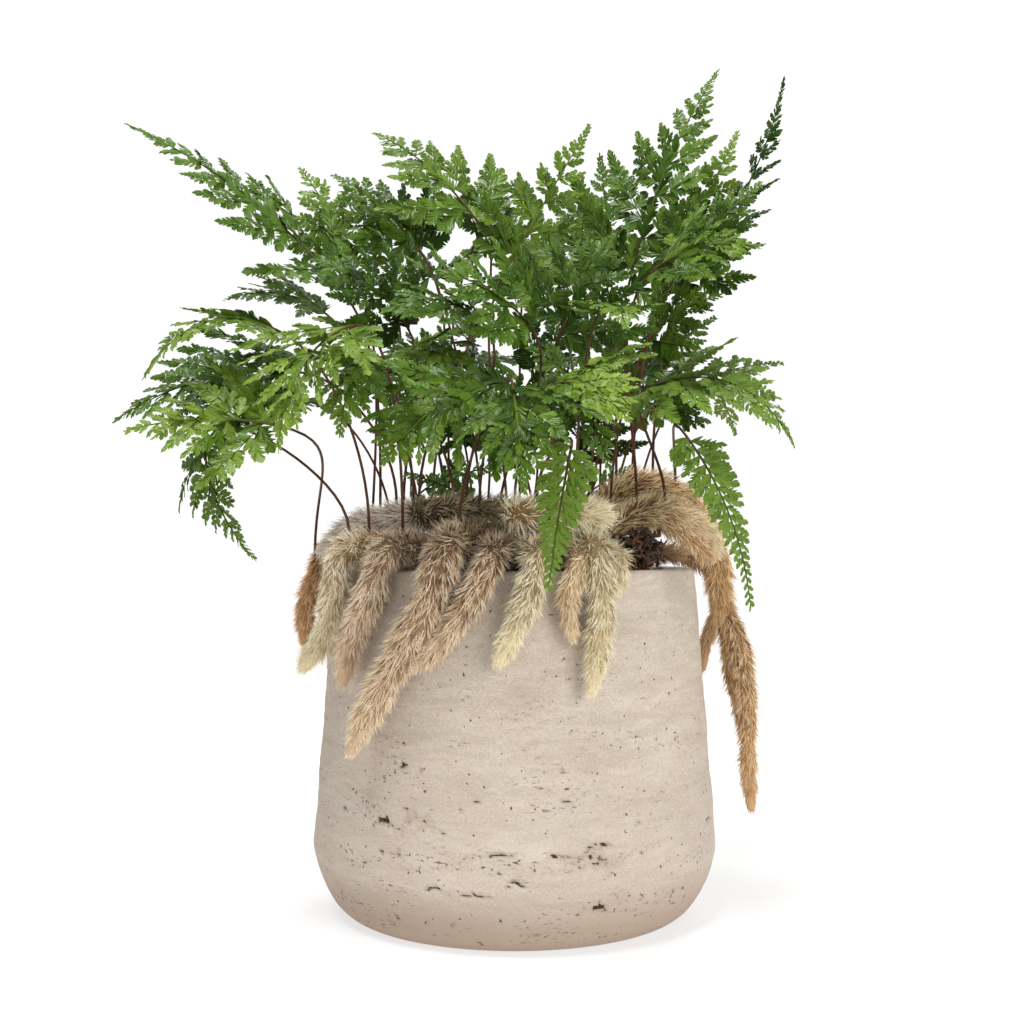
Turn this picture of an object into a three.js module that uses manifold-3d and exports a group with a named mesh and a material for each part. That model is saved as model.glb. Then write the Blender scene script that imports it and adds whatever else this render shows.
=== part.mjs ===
// Potted white rabbit's foot fern: a tapered concrete pot filled with soil, furry rhizomes that creep
// over its rim, and finely cut fronds on thin stipes. Millimetres, +Z up, front of the plant towards -Y,
// origin in the middle of the pot's underside.

import * as THREE from "three";
import { mergeVertices } from "three/addons/utils/BufferGeometryUtils.js";
import Module from "manifold-3d";

const manifoldLibrary = await Module();
manifoldLibrary.setup();

// Pot
const POT_HEIGHT = 135.5;
const POT_RIM_RADIUS = 71.9;
const POT_WIDEST_RADIUS = 80;
const POT_WIDEST_HEIGHT = 28.6;
const POT_FOOT_RADIUS = 63.8;
const POT_FOOT_ROUNDNESS = 1.66;
const POT_WALL = 8;
const POT_FLOOR = 10;
const POT_LIP_ROUND = 1.6;
const POT_SIDES = 36;
const POT_FOOT_STEPS = 5;

// Soil, a low mound that fills the pot
const SOIL_EDGE_HEIGHT = 127;
const SOIL_CROWN_HEIGHT = 142;
const SOIL_SIDES = 24;
const SOIL_RINGS = 3;

// Fits
const GAP = 0.3;
const ROOT_GAP = 0.4;
const LEAST_LEVEL = 0.5;
const RIM_CLEARANCE = 0.5;
const SOIL_CLEARANCE = 0.4;

// Rhizomes
const RHIZOME_SIDES = 7;
const RHIZOME_STEP = 11;
const RHIZOME_LUMP = 0.06;
const RHIZOME_LUMP_TURN = 2.4;
const RHIZOME_TIP_TAPER = 0.45;
const RHIZOME_TIP_BLUNTNESS = 4;
const RHIZOME_FOOT_TAPER = 0.15;
const RHIZOME_FOOT_SHARE = 1 / 6;
const RHIZOME_FOOT_POLE = 0.5;
const RHIZOME_TIP_POLE = 0.7;

// Fronds
const BLADE_THICKNESS = 0.7;
const STIPE_FOOT = 1;
const STIPE_THICKNESS = 1.3;
const STIPE_RISE = 0.35;
const STIPE_LEAN = 0.3;
const STIPE_STATIONS = 4;
const RACHIS_WIDTH = 1.1;
const PAIR_CROWDING = 1.15;
const PINNA_ANGLE_BASE = 60;
const PINNA_ANGLE_TIP = 40;
const PINNA_SHORTENING = 1.2;
const PINNA_CURL = 18;
const PINNA_SAG = 0.1;
const PINNA_FILL = 0.47;
const PINNA_FOOT = 0.9;
const PINNA_FOOT_SHARE = 0.15;
const BASAL_LOWER_WIDTH = 1.7;
const TOOTH_LENGTH = 18;
const MOST_TEETH = 3;
const TOOTH_TOP = 0.62;
const TOOTH_REACH = 0.3;
const NOTCH_SPACING = 0.42;
const NOTCH_WIDTH = 0.48;
const LEAF_TIP_WIDTH = 1 / 6;
const LEAF_TIP_WIDEST = 0.45;
const LEAF_TIP_NARROWER = [0.6, 0.4];

const UP = new THREE.Vector3(0, 0, 1);
const DEGREE = Math.PI / 180;
const MERGE_DISTANCE = 1e-4;
// a cubic curve whose two handles are raised by one rises by this in its middle
const CUBIC_RISE = 0.75;

// Rhizome routes. A point on the soil is ["soil", angle, radius], over the rim ["rim", angle], against
// the outside of the pot ["wall", angle, height], and clear of it ["free", angle, radius, height].
// The angle goes round the pot from its front, towards +X. A strand is one tube; strands of one
// rhizome grow together.
const RHIZOMES = [
  {
    name: "front_long",
    colour: 0xc9ac87,
    strands: [
      {
        girth: 8.4,
        route: [
          ["soil", -8, 24], ["soil", -14, 42], ["rim", -18], ["wall", -22, 124],
          ["wall", -28, 108], ["wall", -36, 90], ["wall", -43, 71],
        ],
      },
      {
        girth: 6,
        route: [
          ["soil", -4, 46], ["rim", -6], ["wall", -12, 124], ["wall", -20, 110], ["wall", -27, 101],
        ],
      },
    ],
  },
  {
    name: "front_cream",
    colour: 0xd8c9a0,
    strands: [
      {
        girth: 6.3,
        route: [
          ["soil", 9, 50], ["rim", 6], ["wall", 3, 126], ["wall", -4, 104],
        ],
      },
    ],
  },
  {
    name: "front_fork",
    colour: 0xcfae84,
    strands: [
      {
        girth: 6.5,
        route: [
          ["soil", 26, 34], ["soil", 25, 50], ["rim", 22], ["wall", 22, 118], ["wall", 19, 94],
        ],
      },
      { girth: 4.8, route: [["soil", 23, 55], ["rim", 18], ["wall", 14, 127], ["wall", 15, 112]] },
      { girth: 4.8, route: [["soil", 28, 52], ["rim", 29], ["wall", 28, 128]] },
    ],
  },
  {
    name: "left_pink",
    colour: 0xb89a80,
    strands: [
      {
        girth: 6.9,
        route: [
          ["soil", -40, 34], ["soil", -37, 50], ["rim", -37], ["wall", -41, 126], ["wall", -47, 110],
          ["wall", -50, 94],
        ],
      },
    ],
  },
  {
    name: "left_pale",
    colour: 0xc8bf98,
    strands: [
      {
        girth: 7,
        route: [
          ["soil", -66, 34], ["soil", -60, 50], ["rim", -56], ["wall", -57, 126], ["wall", -62, 110],
          ["free", -68, 87, 98],
        ],
      },
    ],
  },
  {
    name: "far_left",
    colour: 0x9c6f48,
    strands: [
      {
        girth: 6.2,
        route: [
          ["soil", -96, 38], ["soil", -97, 52], ["rim", -98], ["free", -96, 83, 129.3],
          ["free", -95, 86, 117.3], ["free", -94, 86, 104.3],
        ],
      },
    ],
  },
  {
    name: "back_left",
    colour: 0xbca37e,
    strands: [
      {
        girth: 6.4,
        route: [
          ["soil", -116, 30], ["soil", -118, 50], ["rim", -116], ["wall", -114, 118],
          ["wall", -110, 92],
        ],
      },
    ],
  },
  {
    name: "back_long",
    colour: 0xc4a983,
    strands: [
      {
        girth: 7,
        route: [
          ["soil", -152, 26], ["soil", -150, 48], ["rim", -148], ["wall", -152, 116],
          ["wall", -158, 92], ["wall", -160, 68],
        ],
      },
      {
        girth: 5,
        route: [
          ["soil", -156, 50], ["rim", -164], ["wall", -172, 120], ["wall", -176, 106],
        ],
      },
    ],
  },
  {
    name: "back_right",
    colour: 0xb5946c,
    strands: [
      {
        girth: 6.4,
        route: [
          ["soil", 150, 28], ["soil", 148, 50], ["rim", 146], ["wall", 144, 116], ["wall", 147, 84],
        ],
      },
    ],
  },
  {
    name: "right_behind",
    colour: 0xb08d62,
    strands: [
      {
        girth: 4.6,
        route: [
          ["soil", 116, 32], ["soil", 112, 50], ["rim", 107], ["free", 100, 85, 131.3],
          ["free", 99, 85, 118.3], ["free", 103, 82, 104.3], ["free", 106, 81.6, 92.3],
        ],
      },
    ],
  },
  {
    name: "middle",
    colour: 0x9d8a66,
    strands: [
      {
        girth: 6,
        route: [
          ["soil", -170, 6], ["soil", 75, 12], ["soil", 82, 34], ["soil", 87, 48], ["free", 90, 57, 141.3],
        ],
      },
      {
        girth: 5.4,
        route: [
          ["soil", -170, 6], ["soil", -80, 10], ["soil", -70, 19],
        ],
      },
    ],
  },
  {
    name: "left_olive",
    colour: 0x8f8562,
    strands: [
      {
        girth: 5.4,
        route: [
          ["free", -44, 56, 155.9], ["free", -30, 52, 157.9], ["free", -10, 46, 157.9],
          ["free", 8, 36, 157.9],
        ],
      },
    ],
  },
  {
    name: "left_hump",
    colour: 0xbdb6a2,
    strands: [
      {
        girth: 6.2,
        route: [
          ["free", -47, 34, 154.9], ["free", -56, 46, 156], ["free", -70, 54, 155],
          ["free", -79, 66, 151], ["free", -83, 78, 142],
        ],
      },
    ],
  },
  {
    name: "front_pale",
    colour: 0xe4dbc0,
    strands: [
      {
        girth: 6.8,
        route: [
          ["free", -3, 67, 155.7], ["free", 8, 68, 155.7], ["free", 20, 69, 155.7], ["free", 31, 66, 154.7],
        ],
      },
    ],
  },
  {
    name: "right_arch",
    colour: 0xb98f5f,
    strands: [
      {
        girth: 8,
        route: [
          ["soil", 40, 30], ["free", 54, 37, 154.3], ["free", 72, 46, 165.3], ["free", 82, 60, 166.3],
          ["free", 86, 73, 156.3], ["free", 87, 80, 142.3], ["free", 86, 82.5, 125.3], ["free", 86, 87, 107.3],
        ],
      },
      {
        girth: 6.4,
        route: [
          ["soil", 38, 48], ["free", 48, 56, 154.3], ["free", 62, 66, 157.3], ["free", 76, 76, 150.3],
          ["free", 85, 80, 138.3],
        ],
      },
      {
        girth: 4.6,
        route: [
          ["free", 86, 85, 119.3], ["free", 84, 91, 99.3], ["free", 86, 93, 79.3], ["free", 85, 93, 59.3],
          ["free", 84, 94, 40.3],
        ],
      },
      {
        girth: 3.6,
        route: [
          ["free", 87, 84, 119.3], ["free", 92, 87, 97.3], ["free", 91, 90, 81.3], ["free", 87, 92, 67.3],
        ],
      },
    ],
  },
];

const DARK = 0x2f5a1c;
const MID = 0x44762a;
const LIGHT = 0x5f9438;

// Fronds: where the stipe is rooted, seen from above, where the blade begins and ends, how far the blade
// bulges towards its face, how long its lowest pinnae are, which way its face looks, and pairs of pinnae
const FRONDS = [
  frond("left_long", [-53, -15], [-68, -25, 245], [-147, -40, 304], 7, 50, [0.75, -0.6, 0.5], 6, DARK),
  frond("right_tall", [40, -15], [45, -8, 246], [83, 0, 338], 9, 54, [-0.5, -1, 0.3], 6, MID),
  frond("right_far", [47, -2], [72, 12, 260], [114, 22, 342], -8, 36, [-0.8, -0.55, 0.3], 6, DARK),
  frond("centre_tall", [-3, -24], [-4, -18, 252], [30, -12, 312], 4, 34, [0.2, -1, 0.2], 5, LIGHT),
  frond("upper_left", [-37, -27], [-15, -4, 275], [-59, 12, 316], 6, 42, [0.3, -0.9, 0.5], 5, MID),
  frond("front_left", [-41, -54], [-56, -88, 220], [-77, -112, 175], 10, 44, [-0.4, -0.8, 0.5], 6, LIGHT),
  frond("left_arching", [-55, -38], [-88, -51.2, 224.2], [-132, -72, 203], 12, 32, [0, -0.4, 1], 5, LIGHT),
  frond("left_broad", [-46, -22], [-81, -38, 210], [-148, -52, 190], 8, 54, [0, -0.7, 0.8], 6, DARK),
  frond("left_low", [-82, 8], [-84, -72, 187], [-135, -84, 184], 5, 40, [0, -0.8, 0.6], 5, LIGHT),
  frond("left_hanging", [-62, -42], [-115, -48, 185], [-94, -58, 139], 6, 28, [-0.8, -0.6, 0.2], 6, MID),
  frond("front_left_small", [-38, -41], [-51, -77.6, 212.2], [-59, -96, 181], 8, 34, [-0.1, -1, 0.4], 5, MID),
  frond("front_inner_left", [-20, -61], [-13, -79.6, 200], [-45, -100, 171], 6, 50, [-0.1, -0.9, 0.6], 6, LIGHT),
  frond("front_arching", [-23, -44], [-42, -39.2, 218], [-14, -68, 192], 12, 38, [0, -0.7, 0.8], 5, LIGHT),
  frond("front_centre", [-13, -50], [-1, -96.8, 200], [3, -126, 161], 6, 40, [0, -1, 0.4], 5, LIGHT),
  frond("front_hanging", [8, -67], [19, -98, 178], [11, -108, 130], 5, 20, [-0.1, -1, 0.2], 6, MID),
  frond("front_right", [22, -65], [11, -73.2, 200], [39, -98, 186], 8, 46, [0.1, -0.8, 0.6], 6, LIGHT),
  frond("left_second", [-58, -3], [-65, 0, 257], [-89, 8, 301], 4, 32, [0.3, -1, 0.3], 5, MID),
  frond("left_third", [-33, -15], [-39, 2.8, 265], [-76, 10, 298], 5, 36, [0.2, -0.8, 0.6], 5, MID),
  frond("centre_small", [-27, 13], [-16, 8.4, 270], [3, 18, 299], 5, 24, [0, -1, 0.5], 4, DARK),
  frond("right_reaching", [46, -38], [52, -48, 247], [90, -58, 253], 6, 34, [0, -0.7, 0.7], 5, LIGHT),
  frond("right_pointing", [47, -12], [62, -29.2, 248], [95, -32, 284], 5, 34, [-0.3, -1, 0.3], 5, MID),
  frond("right_slim", [55, -9], [70, -8, 264], [89, -14, 309], 3, 26, [-0.4, -1, 0.2], 5, LIGHT),
  frond("right_lobed", [36, -40], [51, -40.8, 222], [76, -50, 237], 5, 32, [0, -0.8, 0.6], 4, LIGHT),
  frond("right_branching", [57, -34], [50, -38, 204], [104, -48, 181], 16, 42, [0.1, -0.7, 0.8], 6, MID),
  frond("right_thin", [40, -2], [60, 2, 203], [110, 6, 219], 6, 26, [0, -0.8, 0.6], 4, DARK),
  frond("right_hanging", [64, -8], [63, -56, 184], [85, -62, 121], 8, 22, [0.4, -0.9, 0.2], 6, MID),
  frond("middle_left", [-18, -46], [-11, -56, 225], [-48, -68, 228], 8, 44, [0, -0.7, 0.8], 5, DARK),
  frond("middle", [0, -40], [7, -59.2, 222], [-28, -72, 242], 6, 44, [0, -0.8, 0.6], 5, MID),
  frond("middle_right", [17, -35], [17, -36.4, 225], [37, -34, 263], 6, 42, [0, -1, 0.3], 5, DARK),
  frond("middle_low", [22, -50], [31, -51.2, 230], [38, -92, 218], 6, 30, [0.2, -0.8, 0.6], 5, MID),
  frond("inner_right", [30, -20], [34, -26, 200], [5, -37, 220], 4, 34, [0, -1, 0.2], 5, DARK),
  frond("centre_low", [-6, -34], [17, -53, 206], [33, -83, 170], 8, 34, [0.1, -0.9, 0.5], 5, MID),
  frond("left_middle", [-43, -25], [-40, -39.2, 225.8], [-76, -48, 251], 8, 40, [0, -0.8, 0.6], 5, MID),
  frond("back_tall", [16, 27], [28, 40, 266], [30, 58, 311], 6, 40, [0, 0.7, 0.6], 5, DARK),
  frond("back_upright", [30, -3], [43, 52.4, 263], [39, 76, 325], 6, 42, [0.1, 0.8, 0.4], 5, DARK),
  frond("back_left_dark", [-40, 21], [-76, 28, 239], [-128, 46, 252], 8, 42, [-0.2, 0.3, 1], 5, DARK),
  frond("back_right_low", [32, 49], [45, 70, 220], [76, 122, 212], 12, 48, [0.2, 0.5, 0.8], 6, MID),
  frond("back_middle", [-24, 40], [-8, 72, 228], [-14, 130, 214], 12, 50, [0, 0.5, 0.8], 6, MID),
  frond("back_left", [-30, 50], [-48, 64, 220], [-92, 112, 212], 12, 48, [-0.2, 0.5, 0.8], 6, LIGHT),
  frond("back_left_low", [-52, 26], [-84, 42, 205], [-132, 70, 190], 10, 40, [-0.3, 0.3, 0.9], 5, MID),
  frond("back_right", [48, 30], [74, 48, 212], [104, 92, 196], 12, 42, [0.3, 0.4, 0.8], 5, LIGHT),
  frond("back_centre_tall", [2, 3], [4, 41.2, 256], [-4, 92, 306], 8, 44, [0, 0.8, 0.5], 5, MID),
  frond("back_left_tall", [-14, 27], [-34, 34, 258], [-58, 72, 306], 8, 42, [-0.2, 0.8, 0.5], 5, DARK),
];

function frond(name, root, base, tip, arch, spread, face, pairs, colour) {
  return { name, root, base, tip, arch, spread, face, pairs, colour };
}

function polar(angle, radius, height) {
  return new THREE.Vector3(radius * Math.sin(angle * DEGREE), -radius * Math.cos(angle * DEGREE), height);
}

function potRadiusAt(height) {
  const share = (height - POT_WIDEST_HEIGHT) / (POT_HEIGHT - POT_WIDEST_HEIGHT);
  return POT_WIDEST_RADIUS + (POT_RIM_RADIUS - POT_WIDEST_RADIUS) * share;
}

function soilHeightAt(radius) {
  const share = radius / (POT_RIM_RADIUS - POT_WALL);
  return SOIL_CROWN_HEIGHT + (SOIL_EDGE_HEIGHT - SOIL_CROWN_HEIGHT) * share * share;
}

// Outer foot: a superellipse quarter from the flat underside to the widest ring
function potFoot() {
  const points = [];
  for (let step = 0; step <= POT_FOOT_STEPS; step += 1) {
    const turn = (step / POT_FOOT_STEPS) * (Math.PI / 2);
    const across = Math.pow(Math.sin(turn), 2 / POT_FOOT_ROUNDNESS);
    const down = Math.pow(Math.cos(turn), 2 / POT_FOOT_ROUNDNESS);
    const radius = POT_FOOT_RADIUS + (POT_WIDEST_RADIUS - POT_FOOT_RADIUS) * across;
    points.push(new THREE.Vector2(radius, POT_WIDEST_HEIGHT * (1 - down)));
  }
  return points;
}

// A lathe turned to stand along +Z
function turned(profile, sides) {
  const geometry = new THREE.LatheGeometry(profile, sides);
  geometry.rotateX(Math.PI / 2);
  return geometry;
}

function potGeometry() {
  const innerRim = POT_RIM_RADIUS - POT_WALL;
  const innerWidest = POT_WIDEST_RADIUS - POT_WALL;
  const profile = [
    new THREE.Vector2(0, 0),
    ...potFoot(),
    new THREE.Vector2(potRadiusAt(POT_HEIGHT - POT_LIP_ROUND), POT_HEIGHT - POT_LIP_ROUND),
    new THREE.Vector2(POT_RIM_RADIUS - POT_LIP_ROUND, POT_HEIGHT),
    new THREE.Vector2(innerRim + POT_LIP_ROUND, POT_HEIGHT),
    new THREE.Vector2(innerRim, POT_HEIGHT - POT_LIP_ROUND),
    new THREE.Vector2(innerWidest, POT_WIDEST_HEIGHT),
    new THREE.Vector2(POT_FOOT_RADIUS - POT_WALL, POT_FLOOR),
    new THREE.Vector2(0, POT_FLOOR),
  ];
  return turned(profile, POT_SIDES);
}

// Distance from the axis to the inner wall, where the pot is straight above its widest ring
function innerRadiusAt(height) {
  const top = POT_HEIGHT - POT_LIP_ROUND;
  const share = (height - POT_WIDEST_HEIGHT) / (top - POT_WIDEST_HEIGHT);
  return POT_WIDEST_RADIUS - POT_WALL + (POT_RIM_RADIUS - POT_WIDEST_RADIUS) * share;
}

function soilGeometry() {
  // a side of the soil has a longer sagitta than the pot's, so corners stay inside the pot's flats
  const inset = GAP + POT_WIDEST_RADIUS * (1 - Math.cos(Math.PI / POT_SIDES));
  const bottom = POT_FLOOR + GAP;
  const profile = [
    new THREE.Vector2(0, bottom),
    new THREE.Vector2(POT_FOOT_RADIUS - POT_WALL - inset, bottom),
    new THREE.Vector2(innerRadiusAt(POT_WIDEST_HEIGHT) - inset, POT_WIDEST_HEIGHT),
    new THREE.Vector2(innerRadiusAt(SOIL_EDGE_HEIGHT) - inset, SOIL_EDGE_HEIGHT),
  ];
  const edge = innerRadiusAt(SOIL_EDGE_HEIGHT) - inset;
  for (let ring = SOIL_RINGS - 1; ring >= 0; ring -= 1) {
    const radius = (edge * ring) / SOIL_RINGS;
    profile.push(new THREE.Vector2(radius, soilHeightAt(radius)));
  }
  return turned(profile, SOIL_SIDES);
}

function toManifold(geometry) {
  const plain = geometry.clone();
  plain.deleteAttribute("normal");
  plain.deleteAttribute("uv");
  const merged = mergeVertices(plain, MERGE_DISTANCE);
  return new manifoldLibrary.Manifold(
    new manifoldLibrary.Mesh({
      numProp: 3,
      vertProperties: new Float32Array(merged.attributes.position.array),
      triVerts: new Uint32Array(merged.index.array),
    }),
  );
}

function toGeometry(solid) {
  const mesh = solid.getMesh();
  const geometry = new THREE.BufferGeometry();
  geometry.setAttribute("position", new THREE.BufferAttribute(mesh.vertProperties, 3));
  geometry.setIndex(new THREE.BufferAttribute(mesh.triVerts, 1));
  return geometry;
}

function routePoints([place, angle, ...rest], girth) {
  const reach = girth * (1 + RHIZOME_LUMP) + GAP;
  if (place === "soil") return [polar(angle, rest[0], soilHeightAt(rest[0]) + reach + SOIL_CLEARANCE)];
  if (place === "wall") return [polar(angle, potRadiusAt(rest[0]) + reach, rest[0])];
  if (place === "free") return [polar(angle, rest[0], rest[1])];
  const around = (reach + RIM_CLEARANCE) * Math.SQRT1_2;
  return [
    polar(angle, POT_RIM_RADIUS - POT_WALL / 2, POT_HEIGHT + reach + RIM_CLEARANCE),
    polar(angle, POT_RIM_RADIUS + around, POT_HEIGHT + around),
  ];
}

// A closed tube along a curve, with a radius at each station and a pole at each end
function tubeGeometry(curve, stations, radiusAt, sides) {
  const frames = curve.computeFrenetFrames(stations, false);
  const positions = [];
  const index = [];
  for (let i = 0; i <= stations; i += 1) {
    const centre = curve.getPointAt(i / stations);
    const radius = radiusAt(i / stations);
    for (let k = 0; k < sides; k += 1) {
      const turn = ((k + (i % 2) / 2) / sides) * 2 * Math.PI;
      const across = frames.normals[i].clone().multiplyScalar(Math.cos(turn) * radius);
      const along = frames.binormals[i].clone().multiplyScalar(Math.sin(turn) * radius);
      positions.push(...centre.clone().add(across).add(along).toArray());
    }
  }
  for (let i = 0; i < stations; i += 1) {
    for (let k = 0; k < sides; k += 1) {
      const next = (k + 1) % sides;
      const a = i * sides + k;
      const b = i * sides + next;
      const c = (i + 1) * sides + k;
      const d = (i + 1) * sides + next;
      if (i % 2 === 0) index.push(a, b, c, b, d, c);
      else index.push(a, d, c, a, b, d);
    }
  }
  const firstPole = positions.length / 3;
  const start = curve.getPointAt(0).addScaledVector(frames.tangents[0], -RHIZOME_FOOT_POLE * radiusAt(0));
  const end = curve.getPointAt(1).addScaledVector(frames.tangents[stations], RHIZOME_TIP_POLE * radiusAt(1));
  positions.push(...start.toArray(), ...end.toArray());
  for (let k = 0; k < sides; k += 1) {
    const next = (k + 1) % sides;
    index.push(firstPole, next, k);
    index.push(firstPole + 1, stations * sides + k, stations * sides + next);
  }
  const geometry = new THREE.BufferGeometry();
  geometry.setAttribute("position", new THREE.Float32BufferAttribute(positions, 3));
  geometry.setIndex(index);
  return geometry;
}

function strandGeometry({ girth, route }) {
  const curve = new THREE.CatmullRomCurve3(route.flatMap((point) => routePoints(point, girth)));
  const stations = Math.max(3, Math.round(curve.getLength() / RHIZOME_STEP));
  const radiusAt = (share) => {
    const taper = 1 - (1 - RHIZOME_TIP_TAPER) * Math.pow(share, RHIZOME_TIP_BLUNTNESS);
    const foot = 1 - RHIZOME_FOOT_TAPER * Math.max(0, 1 - share / RHIZOME_FOOT_SHARE);
    return girth * taper * foot * (1 + RHIZOME_LUMP * Math.sin(share * stations * RHIZOME_LUMP_TURN));
  };
  return tubeGeometry(curve, stations, radiusAt, RHIZOME_SIDES);
}

// The strands of a rhizome, joined
function rhizomeGeometry(strands) {
  return toGeometry(strands.map((strand) => toManifold(strandGeometry(strand))).reduce((a, b) => a.add(b)));
}

// A point of the rachis at a share of its length, with its direction and the blade's upper face there
function rachisFrame(curve, share, face) {
  const point = curve.getPointAt(share);
  const along = curve.getTangentAt(share);
  const normal = face.clone().projectOnPlane(along).normalize();
  const side = new THREE.Vector3().crossVectors(along, normal);
  return { point, along, normal, side };
}

function frondShape({ root, base, tip, arch, face }) {
  const upperFace = new THREE.Vector3(...face).normalize();
  const chord = tip.clone().sub(base);
  const bulge = upperFace.clone().projectOnPlane(chord.clone().normalize()).normalize();
  const third = chord.clone().divideScalar(3);
  const rise = bulge.clone().multiplyScalar(arch / CUBIC_RISE);
  const blade = new THREE.CubicBezierCurve3(
    base,
    base.clone().add(third).add(rise),
    tip.clone().sub(third).add(rise),
    tip,
  );
  const reach = root.distanceTo(base);
  const out = blade.getTangent(0).multiplyScalar(-reach * STIPE_LEAN);
  const stipe = new THREE.CubicBezierCurve3(
    root,
    root.clone().addScaledVector(UP, reach * STIPE_RISE),
    base.clone().add(out),
    base,
  );
  return { stipe, blade, upperFace, length: blade.getLength() };
}

// Pairs of pinnae stand closer together towards the tip
function pairShare(pair, pairs) {
  return 1 - Math.pow(1 - pair / pairs, PAIR_CROWDING);
}

// A sheet of triangles with a thickness at each point, closed by walls along its open edges
function sheetGeometry(points, triangles) {
  const count = points.length;
  const positions = [];
  for (const face of [1, -1]) {
    for (const { point, normal, thickness } of points) {
      positions.push(...point.clone().addScaledVector(normal, (face * thickness) / 2).toArray());
    }
  }
  const index = [];
  const edges = new Set();
  for (const [a, b, c] of triangles) {
    index.push(a, b, c, a + count, c + count, b + count);
    for (const [from, to] of [[a, b], [b, c], [c, a]]) {
      if (!edges.delete(`${to},${from}`)) edges.add(`${from},${to}`);
    }
  }
  for (const edge of edges) {
    const [from, to] = edge.split(",").map(Number);
    index.push(from + count, to + count, to, from + count, to, from);
  }
  const geometry = new THREE.BufferGeometry();
  geometry.setAttribute("position", new THREE.Float32BufferAttribute(positions, 3));
  geometry.setIndex(index);
  return geometry;
}

// One pinna, toothed along both edges, grown from two neighbouring points of the rachis edge
function addPinna(sheet, frame, lower, upper, side, { length, halfWidth, lowerWidth, angle }) {
  const teeth = Math.min(MOST_TEETH, Math.max(1, Math.round(length / TOOTH_LENGTH)));
  const direction = (turn) =>
    frame.along.clone().multiplyScalar(Math.cos(turn)).addScaledVector(frame.side, side * Math.sin(turn));
  const midrib = (share) =>
    frame.point
      .clone()
      .addScaledVector(direction(angle - (PINNA_CURL * DEGREE * share) / 2), share * length)
      .addScaledVector(UP, -PINNA_SAG * length * share * share);
  const edge = (share, offset) => {
    const across = direction(angle - PINNA_CURL * DEGREE * share + Math.PI / 2);
    const point = midrib(share).addScaledVector(across, offset);
    sheet.points.push({ point, normal: frame.normal, thickness: BLADE_THICKNESS });
    return sheet.points.length - 1;
  };
  const quad = (a, b, c, d) => {
    if (side > 0) sheet.triangles.push([a, b, c], [a, c, d]);
    else sheet.triangles.push([a, c, b], [a, d, c]);
  };
  let low = lower;
  let high = upper;
  for (let tooth = 0; tooth < teeth; tooth += 1) {
    const share = (tooth + TOOTH_TOP) / (teeth + TOOTH_REACH);
    const taper = Math.sqrt(1 - share);
    const stations = [[share, 1]];
    if (tooth < teeth - 1) stations.push([share + NOTCH_SPACING / teeth, NOTCH_WIDTH]);
    for (const [at, width] of stations) {
      const nextLow = edge(at, halfWidth * lowerWidth * taper * width);
      const nextHigh = edge(at, -halfWidth * taper * width);
      quad(low, nextLow, nextHigh, high);
      low = nextLow;
      high = nextHigh;
    }
  }
  const end = edge(1, 0);
  sheet.triangles.push(side > 0 ? [low, end, high] : [low, high, end]);
}

function frondGeometry(frond) {
  const { stipe, blade, upperFace, length } = frondShape(frond);
  const sheet = { points: [], triangles: [] };
  const station = (curve, share, halfWidth, thickness) => {
    const frame = rachisFrame(curve, share, upperFace);
    for (const side of [1, -1]) {
      const point = frame.point.clone().addScaledVector(frame.side, side * halfWidth);
      sheet.points.push({ point, normal: frame.normal, thickness });
    }
    const right = sheet.points.length - 2;
    if (right > 0) {
      sheet.triangles.push([right - 2, right, right + 1], [right - 2, right + 1, right - 1]);
    }
    return { frame, right, left: right + 1 };
  };
  for (let i = 0; i < STIPE_STATIONS; i += 1) {
    const thickness = i === 0 ? STIPE_FOOT : STIPE_THICKNESS;
    station(stipe, i / STIPE_STATIONS, thickness / 2, thickness);
  }
  const pinnae = [];
  for (let pair = 0; pair < frond.pairs; pair += 1) {
    const share = pairShare(pair, frond.pairs);
    const room = (pairShare(pair + 1, frond.pairs) - share) * length;
    const thickness = STIPE_THICKNESS + (BLADE_THICKNESS - STIPE_THICKNESS) * Math.min(1, share * 2);
    const foot = Math.min(PINNA_FOOT, room * PINNA_FOOT_SHARE) / length;
    const before = station(blade, share, RACHIS_WIDTH / 2, thickness);
    const after = station(blade, share + 2 * foot, RACHIS_WIDTH / 2, thickness);
    const angle = (PINNA_ANGLE_BASE + (PINNA_ANGLE_TIP - PINNA_ANGLE_BASE) * share) * DEGREE;
    const shape = {
      length: frond.spread * Math.pow(1 - share, PINNA_SHORTENING),
      halfWidth: PINNA_FILL * room * Math.sin(angle),
      lowerWidth: pair === 0 ? BASAL_LOWER_WIDTH : 1,
      angle,
    };
    const frame = rachisFrame(blade, share + foot, upperFace);
    pinnae.push([frame, before.right, after.right, 1, shape], [frame, before.left, after.left, -1, shape]);
  }
  const lastPair = pairShare(frond.pairs - 1, frond.pairs);
  const leafTip = 1 - lastPair;
  const leafWidth = leafTip * length * LEAF_TIP_WIDTH;
  const [narrowerAt, narrower] = LEAF_TIP_NARROWER;
  station(blade, lastPair + leafTip * LEAF_TIP_WIDEST, leafWidth, BLADE_THICKNESS);
  const narrowerShare = lastPair + leafTip * narrowerAt;
  const { frame, right, left } = station(blade, narrowerShare, leafWidth * narrower, BLADE_THICKNESS);
  sheet.points.push({ point: blade.getPoint(1), normal: frame.normal, thickness: BLADE_THICKNESS });
  sheet.triangles.push([right, sheet.points.length - 1, left]);
  for (const pinna of pinnae) addPinna(sheet, ...pinna);
  return sheetGeometry(sheet.points, sheet.triangles);
}

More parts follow.
